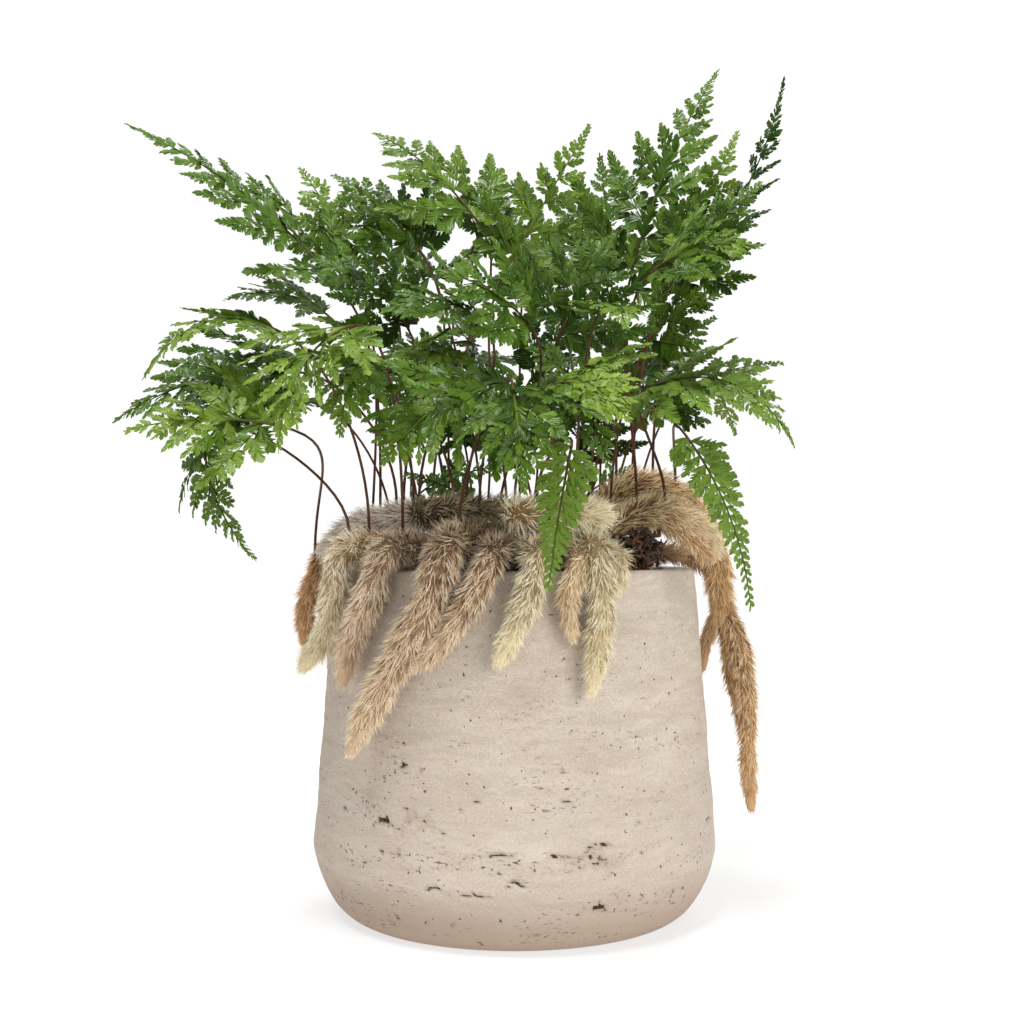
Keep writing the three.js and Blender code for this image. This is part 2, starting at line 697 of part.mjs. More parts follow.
// Where a stipe starts: just above what lies under its place, seen from above, and higher on a slope,
// so that the corners of its foot stay clear
function rootAt([x, y], meshes) {
  const ray = new THREE.Raycaster(new THREE.Vector3(x, y, POT_HEIGHT * 2), UP.clone().negate());
  const { point, face } = ray.intersectObjects(meshes)[0];
  const level = Math.max(LEAST_LEVEL, face.normal.z);
  const corner = STIPE_FOOT * Math.SQRT1_2 * Math.sqrt(1 - level * level);
  return point.addScaledVector(UP, (ROOT_GAP + corner) / level);
}

const group = new THREE.Group();

function addMesh(name, geometry, colour, roughness) {
  const material = new THREE.MeshStandardMaterial({ color: colour, roughness, metalness: 0 });
  const mesh = new THREE.Mesh(geometry, material);
  mesh.name = name;
  group.add(mesh);
}

addMesh("pot", potGeometry(), 0xc8b8a4, 0.9);
addMesh("soil", soilGeometry(), 0x3a2a1c, 1);
for (const { name, colour, strands } of RHIZOMES) {
  addMesh(`rhizome_${name}`, rhizomeGeometry(strands), colour, 1);
}
const ground = [...group.children];
for (const { name, colour, root, base, tip, ...shape } of FRONDS) {
  const ends = { root: rootAt(root, ground), base: new THREE.Vector3(...base), tip: new THREE.Vector3(...tip) };
  addMesh(`frond_${name}`, frondGeometry({ ...shape, ...ends }), colour, 0.6);
}

export default group;
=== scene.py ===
"""Looks of a potted rabbit's foot fern: a pitted concrete pot, soil, furry rhizomes and lacy fronds,
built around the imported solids, +Z up, front towards -Y. Lengths are millimetres until a mesh is made."""

import math
from itertools import combinations

import bpy
import numpy as np
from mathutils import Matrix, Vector, noise
from mathutils.bvhtree import BVHTree


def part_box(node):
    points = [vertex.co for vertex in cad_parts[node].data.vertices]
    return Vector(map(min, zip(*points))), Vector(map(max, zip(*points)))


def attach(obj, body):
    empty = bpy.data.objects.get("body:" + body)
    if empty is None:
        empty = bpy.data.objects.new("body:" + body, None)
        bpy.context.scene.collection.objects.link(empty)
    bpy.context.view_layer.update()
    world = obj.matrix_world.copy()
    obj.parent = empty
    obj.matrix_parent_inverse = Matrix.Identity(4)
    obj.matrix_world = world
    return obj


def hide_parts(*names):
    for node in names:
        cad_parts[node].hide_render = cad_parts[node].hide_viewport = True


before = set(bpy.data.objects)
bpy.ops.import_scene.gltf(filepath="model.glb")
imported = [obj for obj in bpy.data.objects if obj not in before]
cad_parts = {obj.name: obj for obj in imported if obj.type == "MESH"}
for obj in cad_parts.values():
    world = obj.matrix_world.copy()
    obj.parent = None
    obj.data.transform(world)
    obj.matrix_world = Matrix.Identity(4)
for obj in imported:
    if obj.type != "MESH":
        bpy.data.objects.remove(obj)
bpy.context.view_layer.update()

MM = 0.001
UP = np.array([0.0, 0.0, 1.0])

# Pot and soil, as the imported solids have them
POT_HEIGHT = 135.5
POT_RIM_RADIUS = 71.9
POT_WIDEST_RADIUS = 80
POT_WIDEST_HEIGHT = 28.6
POT_FOOT_RADIUS = 63.8
POT_FOOT_ROUNDNESS = 1.66
POT_WALL = 8
POT_FLOOR = 10
SOIL_EDGE_HEIGHT = 127
SOIL_CROWN_HEIGHT = 142

# Rhizomes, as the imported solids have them
GAP = 0.3
RIM_CLEARANCE = 0.5
SOIL_CLEARANCE = 0.4
RHIZOME_LUMP = 0.06
RHIZOME_LUMP_TURN = 2.4
RHIZOME_STEP = 11
RHIZOME_TIP_TAPER = 0.45
RHIZOME_TIP_BLUNTNESS = 4
RHIZOME_FOOT_TAPER = 0.15
RHIZOME_FOOT_SHARE = 1 / 6

# Fronds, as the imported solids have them
ROOT_GAP = 0.4
STIPE_FOOT = 1
STIPE_RISE = 0.35
STIPE_LEAN = 0.3
PAIR_CROWDING = 1.15
PINNA_ANGLE_BASE = 60
PINNA_ANGLE_TIP = 40
PINNA_SHORTENING = 1.2
PINNA_CURL = 18
PINNA_SAG = 0.1
CUBIC_RISE = 0.75

# Each rhizome: its name, its coat, how bare it is and its strands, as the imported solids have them. Each
# strand: its girth, its tint and its route. A point of a route is on the soil ("soil", angle, radius),
# over the rim ("rim", angle), on the outside ("wall", angle, height) or clear of the pot ("free", angle,
# radius, height), with angles in degrees from the front. The last strand of the right arch is only
# here: it fills the inner side of the arch.
RHIZOMES = [
    ("front_long", "tan", 0, [
        (8.4, 0, [("soil", -8, 24), ("soil", -14, 42), ("rim", -18), ("wall", -22, 124),
            ("wall", -28, 108), ("wall", -36, 90), ("wall", -43, 71)]),
        (6, 0, [("soil", -4, 46), ("rim", -6), ("wall", -12, 124), ("wall", -20, 110),
            ("wall", -27, 101)]),
    ]),
    ("front_cream", "cream", 0, [
        (6.3, 0, [("soil", 9, 50), ("rim", 6), ("wall", 3, 126), ("wall", -4, 104)]),
    ]),
    ("front_fork", "cream", 0, [
        (6.5, 0, [("soil", 26, 34), ("soil", 25, 50), ("rim", 22), ("wall", 22, 118), ("wall", 19, 94)]),
        (4.8, 0.45, [("soil", 23, 55), ("rim", 18), ("wall", 14, 127), ("wall", 15, 112)]),
        (4.8, 0, [("soil", 28, 52), ("rim", 29), ("wall", 28, 128)]),
    ]),
    ("left_pink", "pink", 0, [
        (6.9, 0, [("soil", -40, 34), ("soil", -37, 50), ("rim", -37), ("wall", -41, 126),
            ("wall", -47, 110), ("wall", -50, 94)]),
    ]),
    ("left_pale", "grey", 0, [
        (7, 0, [("soil", -66, 34), ("soil", -60, 50), ("rim", -56), ("wall", -57, 126),
            ("wall", -62, 110), ("free", -68, 87, 98)]),
    ]),
    ("far_left", "rust", 0, [
        (6.2, 0, [("soil", -96, 38), ("soil", -97, 52), ("rim", -98), ("free", -96, 83, 129.3),
            ("free", -95, 86, 117.3), ("free", -94, 86, 104.3)]),
    ]),
    ("back_left", "tan", 0, [
        (6.4, 0, [("soil", -116, 30), ("soil", -118, 50), ("rim", -116), ("wall", -114, 118),
            ("wall", -110, 92)]),
    ]),
    ("back_long", "tan", 0, [
        (7, 0, [("soil", -152, 26), ("soil", -150, 48), ("rim", -148), ("wall", -152, 116),
            ("wall", -158, 92), ("wall", -160, 68)]),
        (5, 0, [("soil", -156, 50), ("rim", -164), ("wall", -172, 120), ("wall", -176, 106)]),
    ]),
    ("back_right", "olive", 0, [
        (6.4, 0, [("soil", 150, 28), ("soil", 148, 50), ("rim", 146), ("wall", 144, 116),
            ("wall", 147, 84)]),
    ]),
    ("right_behind", "umber", 0.4, [
        (4.6, 0.8, [("soil", 116, 32), ("soil", 112, 50), ("rim", 107), ("free", 100, 85, 131.3),
            ("free", 99, 85, 118.3), ("free", 103, 82, 104.3), ("free", 106, 81.6, 92.3)]),
    ]),
    ("middle", "umber", 0.3, [
        (6, 0, [("soil", -170, 6), ("soil", 75, 12), ("soil", 82, 34), ("soil", 87, 48),
            ("free", 90, 57, 141.3)]),
        (5.4, 0, [("soil", -170, 6), ("soil", -80, 10), ("soil", -70, 19)]),
    ]),
    ("left_olive", "olive", 0, [
        (5.4, 0, [("free", -44, 56, 155.9), ("free", -30, 52, 157.9), ("free", -10, 46, 157.9),
            ("free", 8, 36, 157.9)]),
    ]),
    ("left_hump", "hump", 0, [
        (6.2, 0, [("free", -47, 34, 154.9), ("free", -56, 46, 156), ("free", -70, 54, 155),
            ("free", -79, 66, 151), ("free", -83, 78, 142)]),
    ]),
    ("front_pale", "cream", 0, [
        (6.8, 0, [("free", -3, 67, 155.7), ("free", 8, 68, 155.7), ("free", 20, 69, 155.7),
            ("free", 31, 66, 154.7)]),
    ]),
    ("right_arch", "arch", 0, [
        (8, 0, [("soil", 40, 30), ("free", 54, 37, 154.3), ("free", 72, 46, 165.3),
            ("free", 82, 60, 166.3), ("free", 86, 73, 156.3), ("free", 87, 80, 142.3),
            ("free", 86, 82.5, 125.3), ("free", 86, 87, 107.3)]),
        (6.4, -0.95, [("soil", 38, 48), ("free", 48, 56, 154.3), ("free", 62, 66, 157.3),
            ("free", 76, 76, 150.3), ("free", 85, 80, 138.3)]),
        (4.6, 0.4, [("free", 86, 85, 119.3), ("free", 84, 91, 99.3), ("free", 86, 93, 79.3),
            ("free", 85, 93, 59.3), ("free", 84, 94, 40.3)]),
        (3.6, 0.4, [("free", 87, 84, 119.3), ("free", 92, 87, 97.3), ("free", 91, 90, 81.3),
            ("free", 87, 92, 67.3)]),
        (5.2, 0.3, [("free", 60, 60, 155.5), ("free", 68, 67.5, 151.5), ("free", 73, 73, 146.5),
            ("free", 79, 78, 139.5)]),
    ]),
]

# Fronds: root seen from above, where the blade begins and ends, how far it bulges towards its face,
# the length of its lowest pinnae, which way its face looks, packed pairs of pinnae and green
# The dark, mid and light greens are partly the fronds' own colours and partly painted shade deep in the crown
# and painted light at the front
FRONDS = [
    ("left_long", (-53, -15), (-68, -25, 245), (-147, -40, 304), 7, 50, (0.75, -0.6, 0.5), 6, "dark"),
    ("right_tall", (40, -15), (45, -8, 246), (83, 0, 338), 9, 54, (-0.5, -1, 0.3), 6, "mid"),
    ("right_far", (47, -2), (72, 12, 260), (114, 22, 342), -8, 36, (-0.8, -0.55, 0.3), 6, "dark"),
    ("centre_tall", (-3, -24), (-4, -18, 252), (30, -12, 312), 4, 34, (0.2, -1, 0.2), 5, "light"),
    ("upper_left", (-37, -27), (-15, -4, 275), (-59, 12, 316), 6, 42, (0.3, -0.9, 0.5), 5, "mid"),
    ("front_left", (-41, -54), (-56, -88, 220), (-77, -112, 175), 10, 44, (-0.4, -0.8, 0.5), 6, "light"),
    ("left_arching", (-55, -38), (-88, -51.2, 224.2), (-132, -72, 203), 12, 32, (0, -0.4, 1), 5, "light"),
    ("left_broad", (-46, -22), (-81, -38, 210), (-148, -52, 190), 8, 54, (0, -0.7, 0.8), 6, "dark"),
    ("left_low", (-82, 8), (-84, -72, 187), (-135, -84, 184), 5, 40, (0, -0.8, 0.6), 5, "light"),
    ("left_hanging", (-62, -42), (-115, -48, 185), (-94, -58, 139), 6, 28, (-0.8, -0.6, 0.2), 6, "mid"),
    ("front_left_small", (-38, -41), (-51, -77.6, 212.2), (-59, -96, 181), 8, 34, (-0.1, -1, 0.4), 5, "mid"),
    ("front_inner_left", (-20, -61), (-13, -79.6, 200), (-45, -100, 171), 6, 50, (-0.1, -0.9, 0.6), 6, "light"),
    ("front_arching", (-23, -44), (-42, -39.2, 218), (-14, -68, 192), 12, 38, (0, -0.7, 0.8), 5, "light"),
    ("front_centre", (-13, -50), (-1, -96.8, 200), (3, -126, 161), 6, 40, (0, -1, 0.4), 5, "light"),
    ("front_hanging", (8, -67), (19, -98, 178), (11, -108, 130), 5, 20, (-0.1, -1, 0.2), 6, "mid"),
    ("front_right", (22, -65), (11, -73.2, 200), (39, -98, 186), 8, 46, (0.1, -0.8, 0.6), 6, "light"),
    ("left_second", (-58, -3), (-65, 0, 257), (-89, 8, 301), 4, 32, (0.3, -1, 0.3), 5, "mid"),
    ("left_third", (-33, -15), (-39, 2.8, 265), (-76, 10, 298), 5, 36, (0.2, -0.8, 0.6), 5, "mid"),
    ("centre_small", (-27, 13), (-16, 8.4, 270), (3, 18, 299), 5, 24, (0, -1, 0.5), 4, "dark"),
    ("right_reaching", (46, -38), (52, -48, 247), (90, -58, 253), 6, 34, (0, -0.7, 0.7), 5, "light"),
    ("right_pointing", (47, -12), (62, -29.2, 248), (95, -32, 284), 5, 34, (-0.3, -1, 0.3), 5, "mid"),
    ("right_slim", (55, -9), (70, -8, 264), (89, -14, 309), 3, 26, (-0.4, -1, 0.2), 5, "light"),
    ("right_lobed", (36, -40), (51, -40.8, 222), (76, -50, 237), 5, 32, (0, -0.8, 0.6), 4, "light"),
    ("right_branching", (57, -34), (50, -38, 204), (104, -48, 181), 16, 42, (0.1, -0.7, 0.8), 6, "mid"),
    ("right_thin", (40, -2), (60, 2, 203), (110, 6, 219), 6, 26, (0, -0.8, 0.6), 4, "dark"),
    ("right_hanging", (64, -8), (63, -56, 184), (85, -62, 121), 8, 22, (0.4, -0.9, 0.2), 6, "mid"),
    ("middle_left", (-18, -46), (-11, -56, 225), (-48, -68, 228), 8, 44, (0, -0.7, 0.8), 5, "dark"),
    ("middle", (0, -40), (7, -59.2, 222), (-28, -72, 242), 6, 44, (0, -0.8, 0.6), 5, "mid"),
    ("middle_right", (17, -35), (17, -36.4, 225), (37, -34, 263), 6, 42, (0, -1, 0.3), 5, "dark"),
    ("middle_low", (22, -50), (31, -51.2, 230), (38, -92, 218), 6, 30, (0.2, -0.8, 0.6), 5, "mid"),
    ("inner_right", (30, -20), (34, -26, 200), (5, -37, 220), 4, 34, (0, -1, 0.2), 5, "dark"),
    ("centre_low", (-6, -34), (17, -53, 206), (33, -83, 170), 8, 34, (0.1, -0.9, 0.5), 5, "mid"),
    ("left_middle", (-43, -25), (-40, -39.2, 225.8), (-76, -48, 251), 8, 40, (0, -0.8, 0.6), 5, "mid"),
    ("back_tall", (16, 27), (28, 40, 266), (30, 58, 311), 6, 40, (0, 0.7, 0.6), 5, "dark"),
    ("back_upright", (30, -3), (43, 52.4, 263), (39, 76, 325), 6, 42, (0.1, 0.8, 0.4), 5, "dark"),
    ("back_left_dark", (-40, 21), (-76, 28, 239), (-128, 46, 252), 8, 42, (-0.2, 0.3, 1), 5, "dark"),
    ("back_right_low", (32, 49), (45, 70, 220), (76, 122, 212), 12, 48, (0.2, 0.5, 0.8), 6, "mid"),
    ("back_middle", (-24, 40), (-8, 72, 228), (-14, 130, 214), 12, 50, (0, 0.5, 0.8), 6, "mid"),
    ("back_left", (-30, 50), (-48, 64, 220), (-92, 112, 212), 12, 48, (-0.2, 0.5, 0.8), 6, "light"),
    ("back_left_low", (-52, 26), (-84, 42, 205), (-132, 70, 190), 10, 40, (-0.3, 0.3, 0.9), 5, "mid"),
    ("back_right", (48, 30), (74, 48, 212), (104, 92, 196), 12, 42, (0.3, 0.4, 0.8), 5, "light"),
    ("back_centre_tall", (2, 3), (4, 41.2, 256), (-4, 92, 306), 8, 44, (0, 0.8, 0.5), 5, "mid"),
    ("back_left_tall", (-14, 27), (-34, 34, 258), (-58, 72, 306), 8, 42, (-0.2, 0.8, 0.5), 5, "dark"),
]

# Young fronds inside the crown, only here, each grown into the piece of the frond it is named for
# Their dark green is painted shade deep inside the crown.
YOUNG_FRONDS = [
    ("middle_left", (-12, 5), (-18, 8, 205), (-58, 14, 232), 6, 36, (0, -0.8, 0.6), 5, "dark"),
    ("middle_right", (10, 8), (6, 10, 212), (40, 16, 244), 6, 36, (0, -1, 0.4), 5, "dark"),
    ("back_upright", (36, 8), (44, 10, 205), (84, 18, 240), 6, 36, (0, -0.9, 0.5), 5, "dark"),
    ("inner_right", (5, -10), (8, -8, 182), (-8, -20, 218), 4, 30, (0, -1, 0.2), 5, "dark"),
    ("back_tall", (20, 14), (26, 14, 184), (44, 10, 218), 4, 30, (0, -1, 0.2), 5, "dark"),
    ("back_left_tall", (-28, 6), (-34, 4, 188), (-56, -4, 218), 4, 30, (0, -1, 0.2), 5, "dark"),
    ("centre_small", (-16, 4), (-20, 0, 184), (-26, -12, 216), 4, 28, (0, -1, 0.2), 5, "dark"),
    ("centre_small", (-38, -4), (-42, -12, 160), (-20, -20, 174), 5, 13, (0, -1, 0.4), 5, "dark"),
    ("inner_right", (-20, -6), (-18, -14, 162), (-42, -26, 172), 4, 12, (0, -1, 0.4), 5, "dark"),
    ("back_left_tall", (-34, 4), (-30, 0, 168), (-4, -8, 176), 5, 13, (0, -1, 0.4), 5, "dark"),
    ("back_tall", (24, 6), (26, 0, 162), (48, -6, 176), 4, 13, (0, -1, 0.4), 5, "dark"),
]


def rng_for(name):
    """A generator seeded by a piece's name, the same in every run."""
    return np.random.default_rng(sum(ord(letter) * (place + 1) for place, letter in enumerate(name)))


def unit(vectors):
    """Vectors scaled to length one."""
    return vectors / np.linalg.norm(vectors, axis=-1, keepdims=True)


class Path:
    """A curve held as closely spaced points, read by share of its length."""

    def __init__(self, points):
        self.points = np.asarray(points, float)
        steps = np.linalg.norm(np.diff(self.points, axis=0), axis=1)
        self.reach = np.concatenate([[0.0], np.cumsum(steps)])
        self.length = self.reach[-1]

    def at(self, shares):
        wanted = np.atleast_1d(shares) * self.length
        return np.stack([np.interp(wanted, self.reach, self.points[:, k]) for k in range(3)], axis=1)

    def along(self, shares, step=0.004):
        """Direction at each share of the length."""
        shares = np.atleast_1d(shares)
        return unit(self.at(np.clip(shares + step, 0, 1)) - self.at(np.clip(shares - step, 0, 1)))


def cubic(p0, p1, p2, p3, count=160):
    """Points of a cubic Bezier curve."""
    t = np.linspace(0, 1, count)[:, None]
    return (1 - t) ** 3 * p0 + 3 * t * (1 - t) ** 2 * p1 + 3 * t * t * (1 - t) * p2 + t**3 * p3


def catmull_rom(points, per_span=24):
    """Points of a centripetal Catmull-Rom curve through points."""
    points = [np.asarray(p, float) for p in points]
    ends = [2 * points[0] - points[1], *points, 2 * points[-1] - points[-2]]
    t = np.linspace(0, 1, per_span, endpoint=False)[:, None]
    curve = []
    for k in range(1, len(ends) - 2):
        p0, p1, p2, p3 = ends[k - 1 : k + 3]
        d0, d1, d2 = (np.sqrt(np.linalg.norm(b - a)) for a, b in ((p0, p1), (p1, p2), (p2, p3)))
        start = ((p1 - p0) / d0 - (p2 - p0) / (d0 + d1) + (p2 - p1) / d1) * d1
        end = ((p2 - p1) / d1 - (p3 - p1) / (d1 + d2) + (p3 - p2) / d2) * d1
        square = 3 * (p2 - p1) - 2 * start - end
        cube = 2 * (p1 - p2) + start + end
        curve.append(p1 + start * t + square * t**2 + cube * t**3)
    return np.concatenate([*curve, points[-1][None]])


class Shell:
    """Gathers the points, triangles and per-point values of one piece."""

    def __init__(self, *values):
        self.points = []
        self.triangles = []
        self.values = {value: [] for value in values}
        self.count = 0

    def add(self, points, triangles, **values):
        points = np.asarray(points, float).reshape(-1, 3)
        self.points.append(points)
        self.triangles.append(np.asarray(triangles, int).reshape(-1, 3) + self.count)
        for key, gathered in self.values.items():
            gathered.append(np.broadcast_to(np.asarray(values.get(key, 0.0), float), len(points)))
        self.count += len(points)

    def piece(self, name, material, node, smooth=False):
        """Makes the mesh, in metres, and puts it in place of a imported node."""
        triangles = np.concatenate(self.triangles)
        mesh = bpy.data.meshes.new(name)
        mesh.vertices.add(self.count)
        mesh.vertices.foreach_set("co", (np.concatenate(self.points) * MM).astype(np.float32).ravel())
        mesh.loops.add(triangles.size)
        mesh.loops.foreach_set("vertex_index", triangles.astype(np.int32).ravel())
        mesh.polygons.add(len(triangles))
        mesh.polygons.foreach_set("loop_start", np.arange(0, triangles.size, 3, dtype=np.int32))
        mesh.polygons.foreach_set("use_smooth", np.full(len(triangles), smooth))
        mesh.update(calc_edges=True)
        for key, gathered in self.values.items():
            layer = mesh.attributes.new(key, "FLOAT", "POINT")
            layer.data.foreach_set("value", np.concatenate(gathered).astype(np.float32))
        mesh.materials.append(material)
        obj = linked(name, mesh)
        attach(obj, "root")
        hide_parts(node)


def linked(name, data):
    """A new object of the scene."""
    obj = bpy.data.objects.new(name, data)
    bpy.context.scene.collection.objects.link(obj)
    return obj


def turned(start, towards, angle):
    """Directions turned by an angle from one towards another at right angles to it."""
    angle = np.asarray(angle)[..., None]
    return start * np.cos(angle) + towards * np.sin(angle)


def across(tangents):
    """For each tangent along a curve, a normal carried along it without twist."""
    normal = np.cross(tangents[0], UP if abs(tangents[0][2]) < 0.9 else np.array([1.0, 0.0, 0.0]))
    normals = []
    for tangent in tangents:
        normal = normal - tangent * np.dot(normal, tangent)
        normal = normal / np.linalg.norm(normal)
        normals.append(normal)
    return np.array(normals)


def tube(shell, centres, radii, sides, **values):
    """A closed tube round a line of centres. Its values may be one number or one for each centre."""
    radii = np.broadcast_to(radii, len(centres))
    tangents = unit(np.gradient(centres, axis=0))
    normals = across(tangents)
    sideways = np.cross(tangents, normals)
    turns = np.linspace(0, 2 * np.pi, sides, endpoint=False)
    ring = turned(normals[:, None], sideways[:, None], turns)
    points = (centres[:, None] + ring * radii[:, None, None]).reshape(-1, 3)
    foot = centres[0] - tangents[0] * radii[0] * 0.5
    tip = centres[-1] + tangents[-1] * radii[-1] * 0.7
    per_point = {}
    for key, value in values.items():
        per_centre = np.broadcast_to(value, len(centres))
        per_point[key] = np.concatenate([np.repeat(per_centre, sides), per_centre[[0, -1]]])
    shell.add([*points, foot, tip], tube_triangles(len(centres), sides), **per_point)


def tube_triangles(rings, sides):
    """Triangles of a closed tube whose two pole points come last."""
    ring, k = np.meshgrid(np.arange(rings - 1), np.arange(sides), indexing="ij")
    a = ring * sides + k
    b = ring * sides + (k + 1) % sides
    walls = np.stack([a, b, a + sides, b, b + sides, a + sides], axis=-1).reshape(-1, 3)
    k = np.arange(sides)
    after = (k + 1) % sides
    foot = np.stack([np.full(sides, rings * sides), after, k], axis=-1)
    last = (rings - 1) * sides
    tip = np.stack([np.full(sides, rings * sides + 1), last + k, last + after], axis=-1)
    return np.concatenate([walls, foot, tip])


def polar(angle, radius, height):
    """A point at an angle from the front, towards +X."""
    turn = math.radians(angle)
    return np.array([radius * math.sin(turn), -radius * math.cos(turn), height])


def pot_radius_at(height):
    share = (height - POT_WIDEST_HEIGHT) / (POT_HEIGHT - POT_WIDEST_HEIGHT)
    return POT_WIDEST_RADIUS + (POT_RIM_RADIUS - POT_WIDEST_RADIUS) * share


def soil_height_at(radius):
    share = radius / (POT_RIM_RADIUS - POT_WALL)
    return SOIL_CROWN_HEIGHT + (SOIL_EDGE_HEIGHT - SOIL_CROWN_HEIGHT) * share * share


# Sockets of the mix node when it mixes colours: its share and both colours, and what comes out
MIX_INPUTS = (0, 6, 7)
MIX_OUTPUT = 2


class Nodes:
    """Adds and links the shader nodes of one material."""

    def __init__(self, name):
        self.material = bpy.data.materials.new(name)
        self.material.use_nodes = True
        self.tree = self.material.node_tree
        self.shader = self.tree.nodes["Principled BSDF"]
        self.place = self.tree.nodes.new("ShaderNodeTexCoord").outputs["Object"]

    def put(self, socket, value):
        """Feeds a socket from another node, or sets it to a constant."""
        if isinstance(value, bpy.types.NodeSocket):
            self.tree.links.new(value, socket)
        else:
            socket.default_value = (*value, 1.0) if socket.type == "RGBA" else value

    def node(self, kind, **inputs):
        node = self.tree.nodes.new(kind)
        for key, value in inputs.items():
            self.put(node.inputs[key.replace("_", " ")], value)
        return node

    def principled(self, **inputs):
        for key, value in inputs.items():
            self.put(self.shader.inputs[key.replace("_", " ")], value)

    def attribute(self, name):
        node = self.tree.nodes.new("ShaderNodeAttribute")
        node.attribute_name = name
        return node.outputs["Fac"]

    def noise(self, scale, detail, roughness, distortion=0.0, level=1.0):
        """Noise in the piece's own space, drawn out level by a factor."""
        place = self.node("ShaderNodeMapping", Vector=self.place, Scale=(1.0, 1.0, level)).outputs["Vector"]
        node = self.node(
            "ShaderNodeTexNoise", Vector=place, Scale=scale, Detail=detail, Roughness=roughness,
            Distortion=distortion,
        )
        return node.outputs["Fac"]

    def math(self, operation, *values):
        node = self.tree.nodes.new("ShaderNodeMath")
        node.operation = operation
        for socket, value in zip(node.inputs, values):
            self.put(socket, value)
        return node.outputs["Value"]

    def weighted(self, *terms):
        """The sum of values times their weights."""
        total = 0.0
        for value, weight in terms:
            total = self.math("MULTIPLY_ADD", value, weight, total)
        return total

    def spread(self, value, low, high, to_low=0.0, to_high=1.0):
        """A value's range mapped to another, and held inside it."""
        node = self.node(
            "ShaderNodeMapRange", Value=value, From_Min=low, From_Max=high, To_Min=to_low, To_Max=to_high
        )
        return node.outputs["Result"]

    def mix(self, share, a, b):
        node = self.tree.nodes.new("ShaderNodeMix")
        node.data_type = "RGBA"
        for place, value in zip(MIX_INPUTS, (share, a, b)):
            self.put(node.inputs[place], value)
        return node.outputs[MIX_OUTPUT]

    def ramp(self, value, *stops):
        node = self.node("ShaderNodeValToRGB", Fac=value)
        elements = node.color_ramp.elements
        while len(elements) < len(stops):
            elements.new(0.5)
        for element, (position, colour) in zip(elements, stops):
            element.position = position
            element.color = (*colour, 1.0)
        return node.outputs["Color"]

    def bump(self, height, strength, distance):
        node = self.node("ShaderNodeBump", Height=height, Strength=strength, Distance=distance)
        return node.outputs["Normal"]


# Pot: a fine lathe with pits and a hand-made waviness
POT_TURNS = 480
POT_WALL_ROWS = 112
POT_FOOT_ROWS = 42
POT_LIP_ROWS = 5
POT_LIP_ROUND = 1.6
LIP_BAND = 5
UNDERSIDE_SHARE = 0.6
WAVE_DEPTH = 0.25
GRAIN_DEPTH = 0.18
PIT_DEPTH = 0.9
PIT_EDGE = 1.25
PIT_RAGGED = 1.3
PIT_DRIFT = 1.6
LEAST_PIT = 0.75
# Pits and rough patches that show: angle from the front, height, half width, half height, strength
PITS = [
    (-31, 66.5, 2.2, 1.2, 1.7), (-26, 65, 2.2, 0.5, 0.9), (-53, 47.6, 2.4, 0.9, 1.6),
    (-60, 40, 0.8, 0.8, 1), (-37, 45.9, 4.6, 1.7, 1.2), (-30, 51.1, 2.8, 0.8, 0.8),
    (-10, 55.3, 2.0, 0.6, 1), (-14, 52.3, 0.7, 0.6, 1), (-19, 44, 1.9, 0.5, 1), (-37, 35.2, 1.0, 0.6, 1),
    (-31.5, 35.1, 0.9, 0.6, 1), (-4, 37.6, 4.6, 0.8, 1.6), (-21, 24.9, 3.0, 0.9, 1.6),
    (-10, 23.1, 6.0, 0.7, 0.9), (0.5, 28, 3.6, 1.6, 0.8), (-34, 11.2, 1.3, 0.8, 1),
    (-17, 11.3, 1.3, 0.7, 2), (18, 73.6, 2.0, 0.4, 0.8), (13.6, 55.1, 3.2, 0.6, 0.9),
    (22.6, 39.8, 5.2, 0.9, 0.9), (10.7, 36.7, 6.0, 0.4, 1), (20, 35, 13, 4.5, 0.55),
    (22.5, 17.6, 2.8, 1.4, 3), (61, 56, 0.8, 0.7, 1), (-41, 123.6, 1.0, 0.6, 1), (-32, 100.6, 1.2, 0.6, 1),
    (58, 113.8, 0.9, 0.6, 2), (34, 46, 3.0, 0.7, 0.8), (-26, 48, 9, 3.5, 0.5), (70, 40, 5.0, 1.0, 1),
    (96, 70, 3.0, 0.9, 1), (118, 33, 6.0, 1.2, 1), (150, 60, 3.5, 0.9, 1), (176, 24, 5.0, 1.3, 1),
    (-164, 52, 4.2, 1.0, 1), (-140, 35, 6.0, 1.1, 1), (-112, 72, 2.6, 0.8, 1), (-84, 40, 5.2, 1.2, 1),
]


def pot_profile():
    """Radii and heights from the underside up the pot's outside, over its lip and down its inside."""
    power = 2 / POT_FOOT_ROUNDNESS
    turn = np.linspace(0, np.pi / 2, POT_FOOT_ROWS)
    foot_radii = POT_FOOT_RADIUS + (POT_WIDEST_RADIUS - POT_FOOT_RADIUS) * np.sin(turn) ** power
    foot_heights = POT_WIDEST_HEIGHT * (1 - np.cos(turn) ** power)
    wall_heights = np.linspace(POT_WIDEST_HEIGHT, POT_HEIGHT - POT_LIP_ROUND, POT_WALL_ROWS)[1:]
    wall_radii = pot_radius_at(wall_heights)
    turn = np.linspace(0, np.pi / 2, POT_LIP_ROWS)[1:]
    sink = POT_LIP_ROUND * (1 - np.cos(turn))
    rise = POT_LIP_ROUND * np.sin(turn)
    rim = POT_RIM_RADIUS - POT_WALL
    lip_radii = [*(wall_radii[-1] - sink), *(rim + POT_LIP_ROUND - rise)]
    lip_heights = [*(wall_heights[-1] + rise), *(POT_HEIGHT - sink)]
    inside_radii = [rim, POT_WIDEST_RADIUS - POT_WALL, POT_FOOT_RADIUS - POT_WALL]
    inside_heights = [POT_HEIGHT - LIP_BAND, POT_WIDEST_HEIGHT, POT_FLOOR]
    radii = [POT_FOOT_RADIUS * UNDERSIDE_SHARE, *foot_radii, *wall_radii, *lip_radii, *inside_radii]
    return np.array(radii), np.array([0, *foot_heights, *wall_heights, *lip_heights, *inside_heights])


